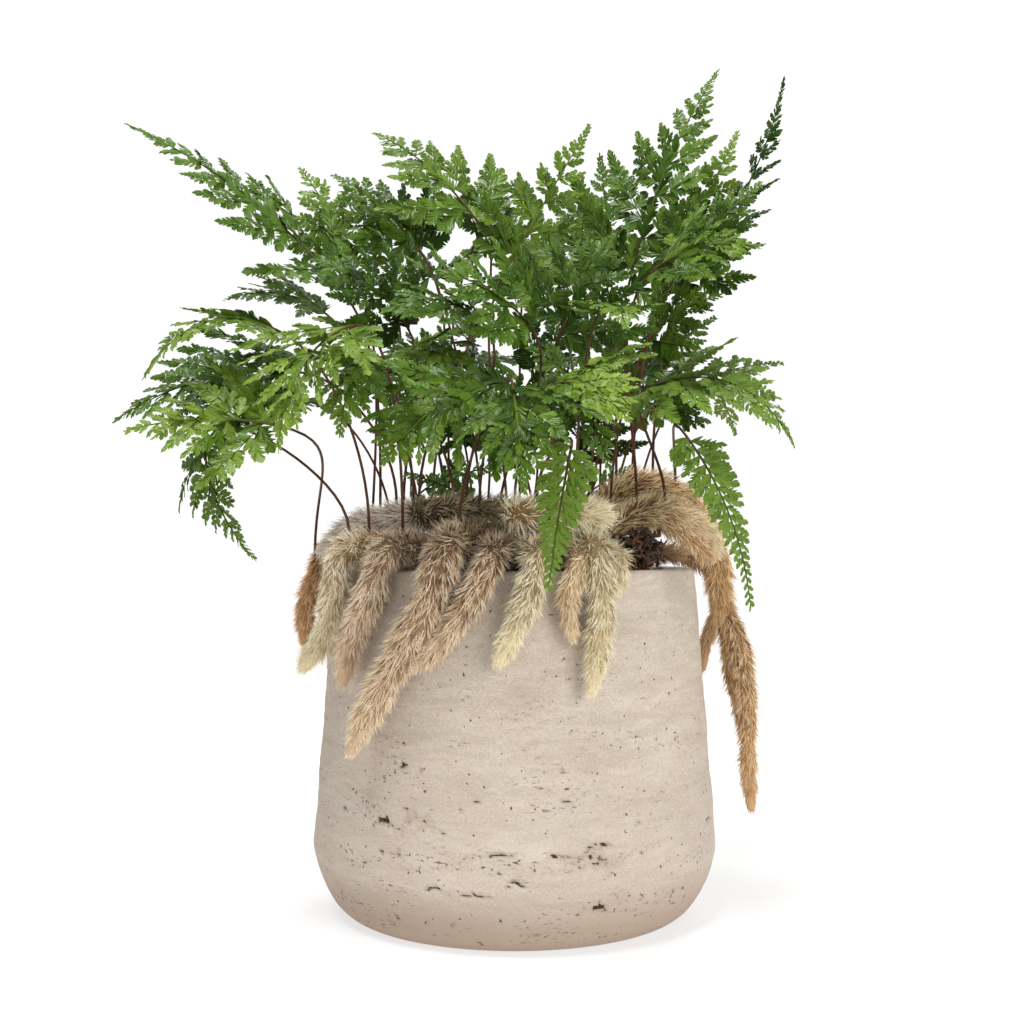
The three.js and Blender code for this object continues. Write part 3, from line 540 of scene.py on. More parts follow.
def pit_depths(angles, heights, radii):
    """How deep the pot's surface is pitted at each point, and how dark its painted shade is."""
    depth = np.zeros_like(angles)
    for place, (angle, height, half_width, half_height, strength) in enumerate(PITS):
        half_height = max(half_height, LEAST_PIT)
        aside = (np.angle(np.exp(1j * (angles - math.radians(angle))))) * radii
        near = (np.abs(aside) < half_width * 2) & (np.abs(heights - height) < half_height * 3 + 2)
        for k in np.flatnonzero(near):
            ragged = noise.noise(Vector((aside[k] * 0.55, heights[k] * 1.3, place * 7.0))) * PIT_RAGGED
            drift = noise.noise(Vector((aside[k] * 0.25, 3.0, place * 5.0))) * PIT_DRIFT
            share = (aside[k] / half_width) ** 2
            up = (heights[k] - height) / half_height - drift + share
            inside = max(0.0, PIT_EDGE - share - up**2 + ragged)
            depth[k] = max(depth[k], min(1.0, strength * inside))
    return depth


def build_pot():
    radii, heights = pot_profile()
    rows = len(radii)
    outside = np.repeat(np.arange(rows) < POT_FOOT_ROWS + POT_WALL_ROWS, POT_TURNS)
    radii = np.repeat(radii, POT_TURNS)
    heights = np.repeat(heights, POT_TURNS)
    angles = np.tile(np.linspace(0, 2 * np.pi, POT_TURNS, endpoint=False), rows)
    aside, back = np.sin(angles), -np.cos(angles)
    pits = np.where(outside & (heights > 4), pit_depths(angles, heights, radii), 0.0)
    wave = WAVE_DEPTH * np.sin(heights * 0.21 + 1.3 * aside) * np.sin(angles * 2 + heights * 0.03)
    places = np.stack([aside * radii * 0.12, -back * radii * 0.12, heights * 0.3], axis=1)
    grain = GRAIN_DEPTH * np.array([noise.noise(Vector(place)) for place in places])
    radii = radii - PIT_DEPTH * pits**2 + np.where(heights > 3, wave + grain, 0.0)
    points = np.stack([radii * aside, radii * back, heights], axis=1)
    shell = Shell("pit")
    shell.add([*points, (0, 0, 0), (0, 0, POT_FLOOR)], tube_triangles(rows, POT_TURNS), pit=[*pits, 0, 0])
    shell.piece("concrete_pot", concrete(), "pot", smooth=True)


def concrete():
    """Washed concrete: fine grain, faint level bands, small pits in drawn-out groups darkened with painted
    shade, and painted shade towards the foot and on the lower wall.
    """
    nodes = Nodes("washed_concrete")
    bands = nodes.noise(14.0, 6.0, 0.62, 0.6, level=6.0)
    blotches = nodes.noise(11.0, 5.0, 0.6, 0.4)
    patches = nodes.noise(42.0, 4.0, 0.6, 0.5, level=1.6)
    streaks = nodes.noise(48.0, 6.0, 0.72, 0.9, level=4.5)
    grain = nodes.noise(900.0, 3.0, 0.7)
    fine = nodes.noise(1500.0, 2.0, 0.8, level=1.5)
    height = nodes.node("ShaderNodeSeparateXYZ", Vector=nodes.place).outputs["Z"]
    pit = nodes.attribute("pit")
    pitted = pitted_places(nodes, height, pit)
    base = nodes.ramp(
        bands, (0.30, (0.50, 0.42, 0.335)), (0.46, (0.585, 0.505, 0.415)), (0.58, (0.645, 0.565, 0.475)),
        (0.72, (0.60, 0.51, 0.42)),
    )
    # Coats, one over the other: what each follows, between which values, its share at both, its colour
    coats = [
        (blotches, 0.42, 0.66, 0.0, 0.55, (0.60, 0.505, 0.43)),
        (patches, 0.40, 0.62, 0.32, 0.0, (0.60, 0.45, 0.375)),
        (patches, 0.50, 0.70, 0.0, 0.30, (0.59, 0.555, 0.44)),
        (grain, 0.42, 0.66, 0.0, 0.46, (0.46, 0.37, 0.29)),
        (fine, 0.50, 0.66, 0.0, 0.40, (0.40, 0.31, 0.24)),
        (fine, 0.34, 0.48, 0.50, 0.0, (0.76, 0.69, 0.60)),
        (streaks, 0.50, 0.68, 0.0, 0.42, (0.74, 0.66, 0.56)),
        (streaks, 0.34, 0.48, 0.42, 0.0, (0.47, 0.37, 0.29)),
        # Painted shade: darker towards the foot under the pot's widest part, and a little darker on the lower
        # wall
        (height, 0.009, 0.025, 0.85, 0.0, (0.40, 0.285, 0.205)),
        (height, 0.045, 0.085, 0.24, 0.0, (0.40, 0.33, 0.285)),
        # Painted shade in and round the pits, nearly black in the deepest and in the pitted specks
        (pit, 0.10, 0.80, 0.0, 0.42, (0.33, 0.23, 0.165)),
        (pitted, 0.0, 1.0, 0.0, 0.86, (0.075, 0.044, 0.028)),
        (pit, 0.70, 0.98, 0.0, 0.75, (0.02, 0.012, 0.008)),
    ]
    for follows, low, high, at_low, at_high, colour in coats:
        base = nodes.mix(nodes.spread(follows, low, high, at_low, at_high), base, colour)
    relief = nodes.weighted((grain, 0.25), (bands, 0.5), (pitted, -0.8))
    nodes.principled(
        Base_Color=base, Roughness=nodes.spread(grain, 0.3, 0.7, 0.78, 0.95),
        Normal=nodes.bump(relief, 0.55, 0.0007), Specular_IOR_Level=0.3,
    )
    return nodes.material


def pitted_places(nodes, height, pit):
    """One in the small pits, which get painted shade and a sunken bump: grouped specks, level drawn-out ones,
    stray ones and ragged large ones.
    """
    lower_half = nodes.spread(height, 0.06, 0.10, 1.0, 0.35)
    groups = nodes.spread(nodes.noise(34.0, 3.0, 0.55, 0.5, level=3.4), 0.50, 0.66)
    specks = nodes.spread(nodes.noise(430.0, 2.0, 0.5, level=2.3), 0.60, 0.68)
    specks = nodes.math("MULTIPLY", specks, nodes.math("MULTIPLY", groups, lower_half))
    drawn = nodes.spread(nodes.noise(120.0, 5.0, 0.7, 1.2, level=3.2), 0.665, 0.72)
    drawn = nodes.math("MULTIPLY", drawn, lower_half)
    stray = nodes.spread(nodes.noise(520.0, 1.0, 0.4), 0.735, 0.77)
    ragged = nodes.weighted((pit, 0.80), (nodes.noise(620.0, 3.0, 0.65, level=1.8), 0.80))
    most = nodes.math("MAXIMUM", nodes.math("MAXIMUM", specks, drawn), stray)
    return nodes.math("MAXIMUM", most, nodes.spread(ragged, 1.02, 1.16))


# Soil: a rough mound with crumbs, roots along the rim and a clump of dark roots under the arch, put there as
# painted shade
SOIL_TURNS = 120
SOIL_RINGS = 44
SOIL_ROUGHNESS = 1.5
SOIL_SIDE = 12
SOIL_SINK = 0.4
CRUMBS = 700
CRUMB_SIZE = (0.5, 1.7)
RIM_ROOTS = 26
RIM_ROOT_RADIUS = (0.55, 0.25)
# The clump of dark roots stands in for the shade under the arch: painted shade
SHADE_CLUMP_ROOTS = 110
SHADE_CLUMP_CENTRE = (45, -42, 142.5)
SHADE_CLUMP_REACH = (10, 3, 8.5)
SHADE_CLUMP_ROOT_STEP = 1.5
SHADE_CLUMP_ROOT_BENDS = 0.9
SHADE_CLUMP_ROOT_REACH = 2.8


def build_soil():
    rng = rng_for("soil")
    shell = Shell("tone")
    edge = cad_side("soil") / MM * 0.998
    foot = SOIL_EDGE_HEIGHT - SOIL_SIDE
    radii = [*np.linspace(0.6, edge, SOIL_RINGS), edge, edge * 0.9]
    heights = [*(soil_height_at(r) for r in radii[:SOIL_RINGS]), foot, foot - 2]
    points = []
    for ring, (radius, height) in enumerate(zip(radii, heights)):
        for turn in np.linspace(0, 2 * np.pi, SOIL_TURNS, endpoint=False):
            x, y = radius * math.sin(turn), -radius * math.cos(turn)
            rough = noise.fractal(Vector((x, y, 0)) * 0.14, 0.8, 2.0, 4) if ring < SOIL_RINGS else 0.0
            points.append((x, y, height + rough * SOIL_ROUGHNESS - SOIL_SINK))
    poles = [(0, 0, heights[0] - 0.3), (0, 0, heights[-1])]
    shell.add([*points, *poles], tube_triangles(len(radii), SOIL_TURNS)[:, ::-1], tone=0.45)
    add_crumbs(shell, rng, edge * 0.97)
    for _ in range(RIM_ROOTS):
        turn = rng.uniform(-0.6, 1.7) if rng.random() < 0.6 else rng.uniform(0, 2 * np.pi)
        add_rim_root(shell, rng, edge, turn)
    for _ in range(SHADE_CLUMP_ROOTS):
        add_shade_clump_root(shell, rng)
    shell.piece("potting_soil", compost(), "soil")


def add_crumbs(shell, rng, edge):
    """Rough balls half sunk in the soil."""
    ball, triangles = icosahedron()
    for _ in range(CRUMBS):
        radius = edge * math.sqrt(rng.random())
        turn = rng.random() * 2 * np.pi
        size = rng.uniform(*CRUMB_SIZE)
        centre = (radius * math.sin(turn), -radius * math.cos(turn), soil_height_at(radius) + size * 0.3)
        crumb = ball * size * rng.uniform(0.7, 1.3, 3) + rng.uniform(-0.15, 0.15, ball.shape) * size
        shell.add(centre + crumb, triangles, tone=rng.random())


def icosahedron():
    """Points and triangles of an icosahedron of about unit radius."""
    golden = (1 + math.sqrt(5)) / 2
    corners = [(x, y * golden, 0) for x in (-1, 1) for y in (-1, 1)]
    points = np.array([np.roll(corner, turn) for turn in range(3) for corner in corners]) / 1.9
    apart = np.linalg.norm(points[:, None] - points, axis=2)
    edge = apart[apart > 0].min() * 1.01
    triangles = []
    for a, b, c in combinations(range(12), 3):
        if max(apart[a, b], apart[b, c], apart[c, a]) < edge:
            facing = np.dot(np.cross(points[b] - points[a], points[c] - points[a]), points[a])
            triangles.append((a, b, c) if facing > 0 else (a, c, b))
    return points, triangles


def add_rim_root(shell, rng, edge, turn):
    """A thin bare root that lies along the soil close to the rim."""
    angles = turn + np.linspace(0, rng.uniform(0.25, 0.6), 9)
    radii = edge - rng.uniform(1.5, 9) + rng.normal(0, 0.6, 9)
    heights = soil_height_at(radii) + rng.uniform(0.6, 2.6) + rng.normal(0, 0.5, 9)
    centres = np.stack([radii * np.sin(angles), -radii * np.cos(angles), heights], axis=1)
    tube(shell, centres, np.linspace(*RIM_ROOT_RADIUS, 9), 5, tone=rng.uniform(1.2, 1.6))


def add_shade_clump_root(shell, rng):
    """One dark crooked root of the clump that stands on the soil under the arch as painted shade."""
    centre = np.array(SHADE_CLUMP_CENTRE) + unit(rng.normal(0, 1, 3)) * rng.random() ** 0.4 * SHADE_CLUMP_REACH
    heading = unit(rng.normal(0, 1, 3) * (1, 0.6, 0.8))
    steps = np.cumsum(heading * SHADE_CLUMP_ROOT_STEP + rng.normal(0, SHADE_CLUMP_ROOT_BENDS, (8, 3)), axis=0)
    centres = centre + np.clip(steps - steps.mean(axis=0), -SHADE_CLUMP_ROOT_REACH, SHADE_CLUMP_ROOT_REACH)
    radii = np.linspace(rng.uniform(0.5, 1.0), 0.3, 8)
    tube(shell, centres, radii, 5, tone=rng.uniform(0.5, 1.55))


def cad_side(node):
    """Half of a node's width, in metres."""
    low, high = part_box(node)
    return (high.x - low.x) / 2


def compost():
    """Dark compost, with rust-brown roots where the tone is high."""
    nodes = Nodes("compost")
    fine = nodes.noise(420.0, 5.0, 0.7)
    base = nodes.ramp(
        nodes.weighted((nodes.attribute("tone"), 0.5), (fine, 0.35)), (0.2, (0.012, 0.008, 0.006)),
        (0.5, (0.045, 0.028, 0.018)), (0.72, (0.09, 0.055, 0.033)), (0.9, (0.16, 0.07, 0.035)),
    )
    nodes.principled(Base_Color=base, Roughness=0.92, Normal=nodes.bump(fine, 0.7, 0.001))
    return nodes.material


# Rhizomes: a rough core in painted shade and a coat of hair-like scales, dark at their roots with painted
# shade, that lie towards the tip
CORE_SHARE = 0.70
CORE_STEP = 1.6
CORE_SIDES = 14
CORE_LUMP = 0.26
CORE_LUMP_SCALE = 0.16
# The core takes the scales' dark root colour: painted shade that shows in the gaps between the scales
CORE_SHADE_TONE = 0.24
CORE_TIP = 0.14
CORE_PALING = 1.5
START_CLOSING = 0.95
TINT_RISE = 2.5
SCALES_PER_AREA = 1.04
SCALE_LENGTH = (3.2, 6.2)
SCALE_WIDTH = 0.42
SCALE_LEAN = (14, 40)
SCALE_DROOP = 0.10
SCALE_SPREAD = 0.26
SCALE_TONES = 0.30
SCALE_PALING = 2.2
SCALE_PALES = 0.06
SCALE_TIPS = (0.05, 0.05, 0.05, 1.0)
SCALE_FACES = np.array([(0, 3, 1), (1, 3, 2), (2, 3, 0), (0, 1, 2)])
BEND_STEP = 1.5
LEVEL_FLUFF = 20
LEVEL_LONGER = 0.2
TUFT_SEED = 7
TUFT_SCALE = 0.33
TUFT_LEAN = 0.6
TUFT_SWING = 1.1
TUFT_TONE = 0.42
START_LEAN = 1.3
TIP_SHARE = 0.9
TIP_FLATTER = 0.75
TIP_SHORTER = 0.35
TIP_THINNER = 0.55
BARE_FLATTER = 0.35
BARE_SHORTER = 0.45
# Coats: colour at the root of a scale, which is painted shade and also colours the core, along it, at its
# point, and at the rhizome's growing tip
COATS = {
    "tan": ((0.13, 0.062, 0.025), (0.72, 0.50, 0.295), (0.97, 0.84, 0.64), (0.98, 0.88, 0.66)),
    "pink": ((0.14, 0.075, 0.034), (0.76, 0.55, 0.355), (0.98, 0.86, 0.67), (0.97, 0.81, 0.61)),
    "cream": ((0.24, 0.145, 0.055), (0.93, 0.79, 0.50), (0.98, 0.94, 0.76), (0.98, 0.93, 0.68)),
    "olive": ((0.07, 0.045, 0.02), (0.45, 0.35, 0.19), (0.74, 0.64, 0.43), (0.85, 0.78, 0.52)),
    "grey": ((0.26, 0.16, 0.07), (0.97, 0.80, 0.54), (0.99, 0.95, 0.80), (0.99, 0.96, 0.64)),
    "hump": ((0.26, 0.17, 0.12), (0.90, 0.78, 0.68), (0.99, 0.95, 0.90), (0.97, 0.88, 0.76)),
    "arch": ((0.12, 0.054, 0.018), (0.80, 0.51, 0.24), (0.99, 0.84, 0.55), (0.52, 0.31, 0.14)),
    "umber": ((0.05, 0.028, 0.014), (0.17, 0.10, 0.05), (0.40, 0.29, 0.17), (0.16, 0.09, 0.045)),
    "rust": ((0.11, 0.040, 0.014), (0.66, 0.35, 0.145), (0.93, 0.66, 0.38), (0.92, 0.74, 0.48)),
}
# What a tint of one and a tint of minus one turn a coat into, from the root of a scale to its point
RUSTY = (0.42, 0.22, 0.09), (0.92, 0.66, 0.40)
YELLOWISH = (0.55, 0.44, 0.22), (0.97, 0.93, 0.70)


def route_points(point, girth):
    """The centre points of a rhizome for one entry of its route."""
    place, angle, *rest = point
    reach = girth * (1 + RHIZOME_LUMP) + GAP
    if place == "soil":
        return [polar(angle, rest[0], soil_height_at(rest[0]) + reach + SOIL_CLEARANCE)]
    if place == "wall":
        return [polar(angle, pot_radius_at(rest[0]) + reach, rest[0])]
    if place == "free":
        return [polar(angle, *rest)]
    around = (reach + RIM_CLEARANCE) * math.sqrt(0.5)
    return [
        polar(angle, POT_RIM_RADIUS - POT_WALL / 2, POT_HEIGHT + reach + RIM_CLEARANCE),
        polar(angle, POT_RIM_RADIUS + around, POT_HEIGHT + around),
    ]


def girth_at(girth, length, shares):
    """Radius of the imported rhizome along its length."""
    stations = max(3, round(length / RHIZOME_STEP))
    taper = 1 - (1 - RHIZOME_TIP_TAPER) * shares**RHIZOME_TIP_BLUNTNESS
    foot = 1 - RHIZOME_FOOT_TAPER * np.maximum(0, 1 - shares / RHIZOME_FOOT_SHARE)
    return girth * taper * foot * (1 + RHIZOME_LUMP * np.sin(shares * stations * RHIZOME_LUMP_TURN))


def near_start(path, girth, shares):
    """One at the very start of a strand, nothing from a thickness on."""
    return np.clip(1 - shares * path.length / girth, 0, 1)


def add_strand(shell, rng, girth, tint, route, bare):
    """One strand: its core, then its scales."""
    path = Path(catmull_rom([centre for point in route for centre in route_points(point, girth)]))
    shares = np.linspace(0, 1, max(8, round(path.length / CORE_STEP)))
    centres = path.at(shares)
    lumps = np.array([noise.noise(Vector(centre * CORE_LUMP_SCALE)) for centre in centres])
    radii = girth_at(girth, path.length, shares) * CORE_SHARE * (1 + CORE_LUMP * lumps)
    radii = radii * np.sqrt(1 - START_CLOSING * near_start(path, girth, shares) ** 2)
    looks = {"tone": CORE_SHADE_TONE, "tip": CORE_TIP, "pale": shares**CORE_PALING}
    tube(shell, centres, radii, CORE_SIDES, tint=tint * shares**TINT_RISE if tint < 0 else tint, **looks)
    area = 2 * np.pi * np.mean(radii) * path.length
    count = int(area / CORE_SHARE * SCALES_PER_AREA)
    add_scales(shell, rng, path, (shares, radii), count, girth, tint, bare)


def scale_places(rng, path, girth, count):
    """Shares of the length and turns round it where scales root, evenly spread round bends too."""
    share = np.sort(rng.random(count * 2))
    turn = rng.random(count * 2) * 2 * np.pi
    step = BEND_STEP / path.length
    ahead = path.along(np.minimum(share + step, 1))
    behind = path.along(np.maximum(share - step, 0))
    bend = (ahead - behind) / (2 * step * path.length)
    tangent = path.along(share)
    normal = across(tangent)
    outward = turned(normal, np.cross(tangent, normal), turn)
    weight = np.clip(1 - (outward * bend).sum(axis=1) * (girth + 2), 0.15, 3.0)
    kept = np.sort(rng.choice(count * 2, count, replace=False, p=weight / weight.sum()))
    return share[kept], turn[kept]


def add_scales(shell, rng, path, core, count, girth, tint, bare):
    """A coat of three-sided spikes rooted in the core, in loose tufts, all lying towards the tip."""
    share, turn = scale_places(rng, path, girth, count)
    centre = path.at(share)
    tangent = path.along(share)
    normal = across(tangent)
    outward = turned(normal, np.cross(tangent, normal), turn)
    radius = np.interp(share, *core)
    skin = centre + outward * radius[:, None]
    tufts = np.array([noise.noise_vector(Vector(place)) for place in skin * TUFT_SCALE])
    end = np.clip((share - TIP_SHARE) / (1 - TIP_SHARE), 0, 1)
    level = 1 - tangent[:, 2] ** 2
    lean = np.radians((rng.uniform(*SCALE_LEAN, count) + LEVEL_FLUFF * level) * (1 - TIP_FLATTER * end))
    lean = lean * (1 - BARE_FLATTER * bare) + tufts[:, 0] * TUFT_LEAN * (1 - end)
    lean = lean + START_LEAN * near_start(path, girth, share)
    swing = tufts[:, 1] * TUFT_SWING * (1 - 0.6 * end) + rng.normal(0, SCALE_SPREAD, count)
    forward = turned(tangent, outward, lean) + np.cross(tangent, outward) * swing[:, None]
    forward = unit(forward - UP * SCALE_DROOP)
    size = rng.uniform(*SCALE_LENGTH, count) * (0.62 + 0.38 * girth / 8) * (1 - TIP_SHORTER * end)
    size = size * (1 - BARE_SHORTER * bare) * (1 + LEVEL_LONGER * level)
    width = SCALE_WIDTH * rng.uniform(0.75, 1.3, count)
    depth = radius * (1 - 0.08 * rng.random(count)) * (1 - TIP_THINNER * end)
    corners = spikes(centre + outward * depth[:, None], forward, outward, size[:, None], width[:, None])
    tone = np.clip(0.5 + TUFT_TONE * tufts[:, 2] + rng.normal(0, SCALE_TONES, count), 0, 1)
    pale = np.clip(share**SCALE_PALING + rng.normal(0, SCALE_PALES, count), 0, 1)
    tint = tint * (share**TINT_RISE if tint < 0 else 0.15 + 0.85 * share)
    per_point = {key: np.repeat(value, 4) for key, value in (("tone", tone), ("pale", pale), ("tint", tint))}
    triangles = np.arange(count)[:, None, None] * 4 + SCALE_FACES
    shell.add(corners, triangles, tip=np.tile(SCALE_TIPS, count), **per_point)


def spikes(root, forward, outward, size, width):
    """The corners of each scale: three round its root and one at its point."""
    side = unit(np.cross(forward, outward)) * width
    up = unit(np.cross(side, forward)) * width * 0.6
    low = root - up * 0.4
    return np.stack([low - side * 0.5, low + side * 0.5, root + up * 0.6, root + forward * size], axis=1)


def build_rhizomes():
    """All rhizomes. The noise of their tufts has a seed, as it would differ in every run without one."""
    noise.seed_set(TUFT_SEED)
    coats = {name: furry(f"scales_{name}", *colours) for name, colours in COATS.items()}
    for name, coat, bare, strands in RHIZOMES:
        rng = rng_for(name)
        shell = Shell("tone", "tip", "pale", "tint")
        for girth, tint, route in strands:
            add_strand(shell, rng, girth, tint, route, bare)
        shell.piece(f"furry_{name}", coats[coat], f"rhizome_{name}")


def furry(name, shade, middle, light, tip_colour):
    """Dry scales: dark at the root with painted shade, tan along, pale at the point and paler towards the
    growing tip.
    """
    nodes = Nodes(name)
    point = nodes.attribute("tip")
    tint = nodes.attribute("tint")
    blotch = nodes.noise(60.0, 3.0, 0.6)
    along = nodes.weighted((point, 0.56), (nodes.attribute("tone"), 0.78), (blotch, 0.25))
    coat = nodes.ramp(along, (0.42, shade), (0.74, middle), (1.0, light))
    pale = nodes.spread(nodes.attribute("pale"), 0.15, 1.0, 0.0, 0.72)
    coat = nodes.mix(pale, coat, nodes.mix(point, middle, tip_colour))
    coat = nodes.mix(nodes.spread(tint, 0.0, 1.0), coat, nodes.mix(along, *RUSTY))
    coat = nodes.mix(nodes.spread(tint, 0.0, -1.0), coat, nodes.mix(along, *YELLOWISH))
    nodes.principled(Base_Color=coat, Roughness=0.85, Specular_IOR_Level=0.2, Sheen_Weight=0.25)
    return nodes.material


# Fronds: lacy pinnules on ribs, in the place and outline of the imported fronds
PAIRS_FINER = 0.95
PAIR_THINNING = 0.7
LEAST_ROOM = 3.6
MOST_ROOM = 0.66
TIP_ROOM = 0.55
TIP_LEAST_ROOM = 1.9
TIP_LEAN = 20
BLADE_END = 0.95
LAST_PAIR = 0.96
LAST_PINNA = 0.985
PAIR_OFFSET = 0.4
FROND_TONES = 0.10
SMALL_PINNA = 10
PINNA_ROLL = 0.30
PINNA_TURN = 0.06
PINNA_SAGS = 0.06
PINNA_LENGTHS = (0.88, 1.05)
LEAFLET_WIDTH = 2.5
MOST_LEAFLET_WIDTH = 0.85
PINNULE_ANGLE = 46
PINNULE_FILL = 1.60
PINNULE_SPACING = 0.50
PINNULE_LEAST = 3.4
PINNULE_MOST = 13.0
PINNULE_TAPER = 0.7
PINNULE_TILT = 0.24
PINNULE_SIZES = (0.88, 1.08)
PINNULE_TURN = 5
PINNULE_TONES = 0.08
PINNATE_SHARE = 0.74
END_WIDTH = 0.72
FIRST_PINNULE = 1.2
LOWER_BASAL = 1.35
RACHIS_RADIUS = (0.55, 0.2)
RACHIS_GREENING = 2.2
RIB_RADIUS = (0.26, 0.1)
STIPE_RADIUS = (0.62, 0.5)
STIPE_SINK = 4
LEAF_THICKNESS = 0.16
# Shapes of pinnules for each number of lobes, and the lengths from which a pinnule has one lobe more
VARIANTS = 6
MOST_LOBES = 5
LOBE_LENGTHS = (3.9, 5.8, 8.0, 10.5)
LOBE_LEAN = 44
LOBE_REACH = (0.50, 0.24)
RIB_SHARE = 0.74
# Edge of a lobe: share across it and share of its reach, from the slit before it over its rounded teeth
LOBE_EDGE = [(0.0, 0.44), (0.05, 0.82), (0.30, 1.0), (0.46, 0.84), (0.68, 0.95), (0.93, 0.66)]
# Edge of a pinnule's tip: places along from the last lobe and sideways, from its notch to its point
TIP_EDGE = [(0.07, 0.05), (0.06, 0.10), (0.12, 0.13), (0.20, 0.08)]
# Fronds whose pinnae are single lobed leaflets: how long, the room from one to the next, and the taper
LANCES = {"front_hanging": (13.5, 4.2, 0.7), "right_hanging": (15, 4.4, 0.9)}
# How much paler than its slot a frond is, partly for its own colour and partly as painted light and shade where
# it sits
PALER = {
    "left_long": 0.25, "upper_left": 0.12, "left_third": 0.12, "right_branching": 0.3,
    "right_hanging": 0.15, "left_broad": 0.15, "front_hanging": 0.5, "right_tall": -0.05,
    "left_hanging": 0.1, "front_centre": -0.25, "front_right": -0.2, "front_left": -0.12,
    "centre_tall": -0.2, "right_reaching": -0.15,
}
# Greens: in the shade of a leaf, on most of it, and at its lightest
# The slots run from dark to light partly as painted shade and painted light, by where their fronds sit, and
# partly for the fronds' own colours
LEAVES = {
    "dark": ((0.004, 0.015, 0.0005), (0.022, 0.062, 0.002), (0.088, 0.165, 0.020)),
    "mid": ((0.006, 0.021, 0.0005), (0.040, 0.095, 0.003), (0.135, 0.225, 0.026)),
    "light": ((0.013, 0.036, 0.001), (0.069, 0.140, 0.005), (0.205, 0.305, 0.038)),
}


def pinnule_shape(lobes, rng):
    """A pinnule of unit length: a blade on both sides of a rib, cut about half-way into toothed lobes.
    Both faces meet along its edge, and the rib has a point in each. Returns the places along, sideways,
    up and through the blade, and the triangles."""
    points = [(RIB_SHARE * k / lobes, 0.0, 0.0, half) for k in range(lobes + 1) for half in (0.5, -0.5)]
    tip = len(points)
    points.append((1.0, 0.0, rng.uniform(-0.06, 0.02), 0.0))
    triangles = []
    for side in (1, -1):
        first = len(points)
        for lobe in range(lobes):
            points += lobe_edge(lobe, lobes, side, rng)
        last = len(points)
        fold = rng.uniform(0.1, 0.3)
        points += [(RIB_SHARE + x, side * y, fold * y, 0.0) for x, y in TIP_EDGE]
        faces = [(0, first, 1)]
        for lobe in range(lobes):
            notch = first + (lobe + 1) * len(LOBE_EDGE)
            faces += fan(2 * lobe, range(notch - len(LOBE_EDGE), notch + 1))
            faces += [(2 * lobe, 2 * lobe + 2, notch), (2 * lobe + 1, notch, 2 * lobe + 3)]
        faces += fan(2 * lobes, [*range(last, len(points)), tip])
        triangles += faces if side > 0 else [face[::-1] for face in faces]
    return *np.array(points).T, np.array(triangles)


def lobe_edge(lobe, lobes, side, rng):
    """Points round the edge of one lobe, with a tilt and a dip of its own."""
    share = (lobe + 0.5) / lobes
    reach = (LOBE_REACH[0] + (LOBE_REACH[1] - LOBE_REACH[0]) * share) * rng.uniform(0.92, 1.08)
    lean = math.radians(LOBE_LEAN + rng.normal(0, 3))
    tilt, fold, dip = rng.uniform((-0.16, 0.10, 0.3), (0.16, 0.34, 1.3))
    edge = []
    for over, out in LOBE_EDGE:
        away = reach * out
        x = RIB_SHARE * (lobe + over) / lobes + away * math.cos(lean)
        y = away * math.sin(lean)
        edge.append((x, side * y, fold * y - dip * y * y + tilt * (over - 0.5) * out, 0.0))
    return edge


def fan(rib, edge):
    """Triangles of the upper and lower face between a pair of rib points and a stretch of the edge."""
    pairs = list(zip(edge, edge[1:]))
    upper = [(rib, after, before) for before, after in pairs]
    return upper + [(rib + 1, before, after) for before, after in pairs]


SHAPES = {
    lobes: [pinnule_shape(lobes, rng_for(f"pinnule_{lobes}_{k}")) for k in range(VARIANTS)]
    for lobes in range(1, MOST_LOBES + 1)
}


def add_pinnule(shell, rng, root, along, normal, length, tone, wide=1.0):
    """One pinnule, bent down a little, cupped and tilted."""
    lobes = 1 + sum(length > least for least in LOBE_LENGTHS)
    u, v, height, thick, triangles = SHAPES[lobes][rng.integers(VARIANTS)]
    v = v * wide
    tilt = rng.normal(0, PINNULE_TILT)
    side = np.cross(normal, along)
    up = turned(normal, -side, tilt)
    side = turned(side, normal, tilt)
    bend = rng.uniform(-0.05, 0.22)
    cup = rng.uniform(-0.3, 0.3)
    rise = (height - bend * u * u - cup * v * v) * length + thick * LEAF_THICKNESS
    points = root + np.outer(u * length, along) + np.outer(v * length, side) + np.outer(rise, up)
    shell.add(points, triangles, tone=tone + 0.30 * np.abs(v) + 0.05 * u)


def frame_at(path, share, face, roll=0.0):
    """Place, direction, upper face and sideways direction of a curve at a share of it."""
    along = path.along(share)[0]
    face = turned(face, np.cross(face, along), roll)
    normal = unit(face - along * np.dot(face, along))
    return path.at(share)[0], along, normal, np.cross(along, normal)


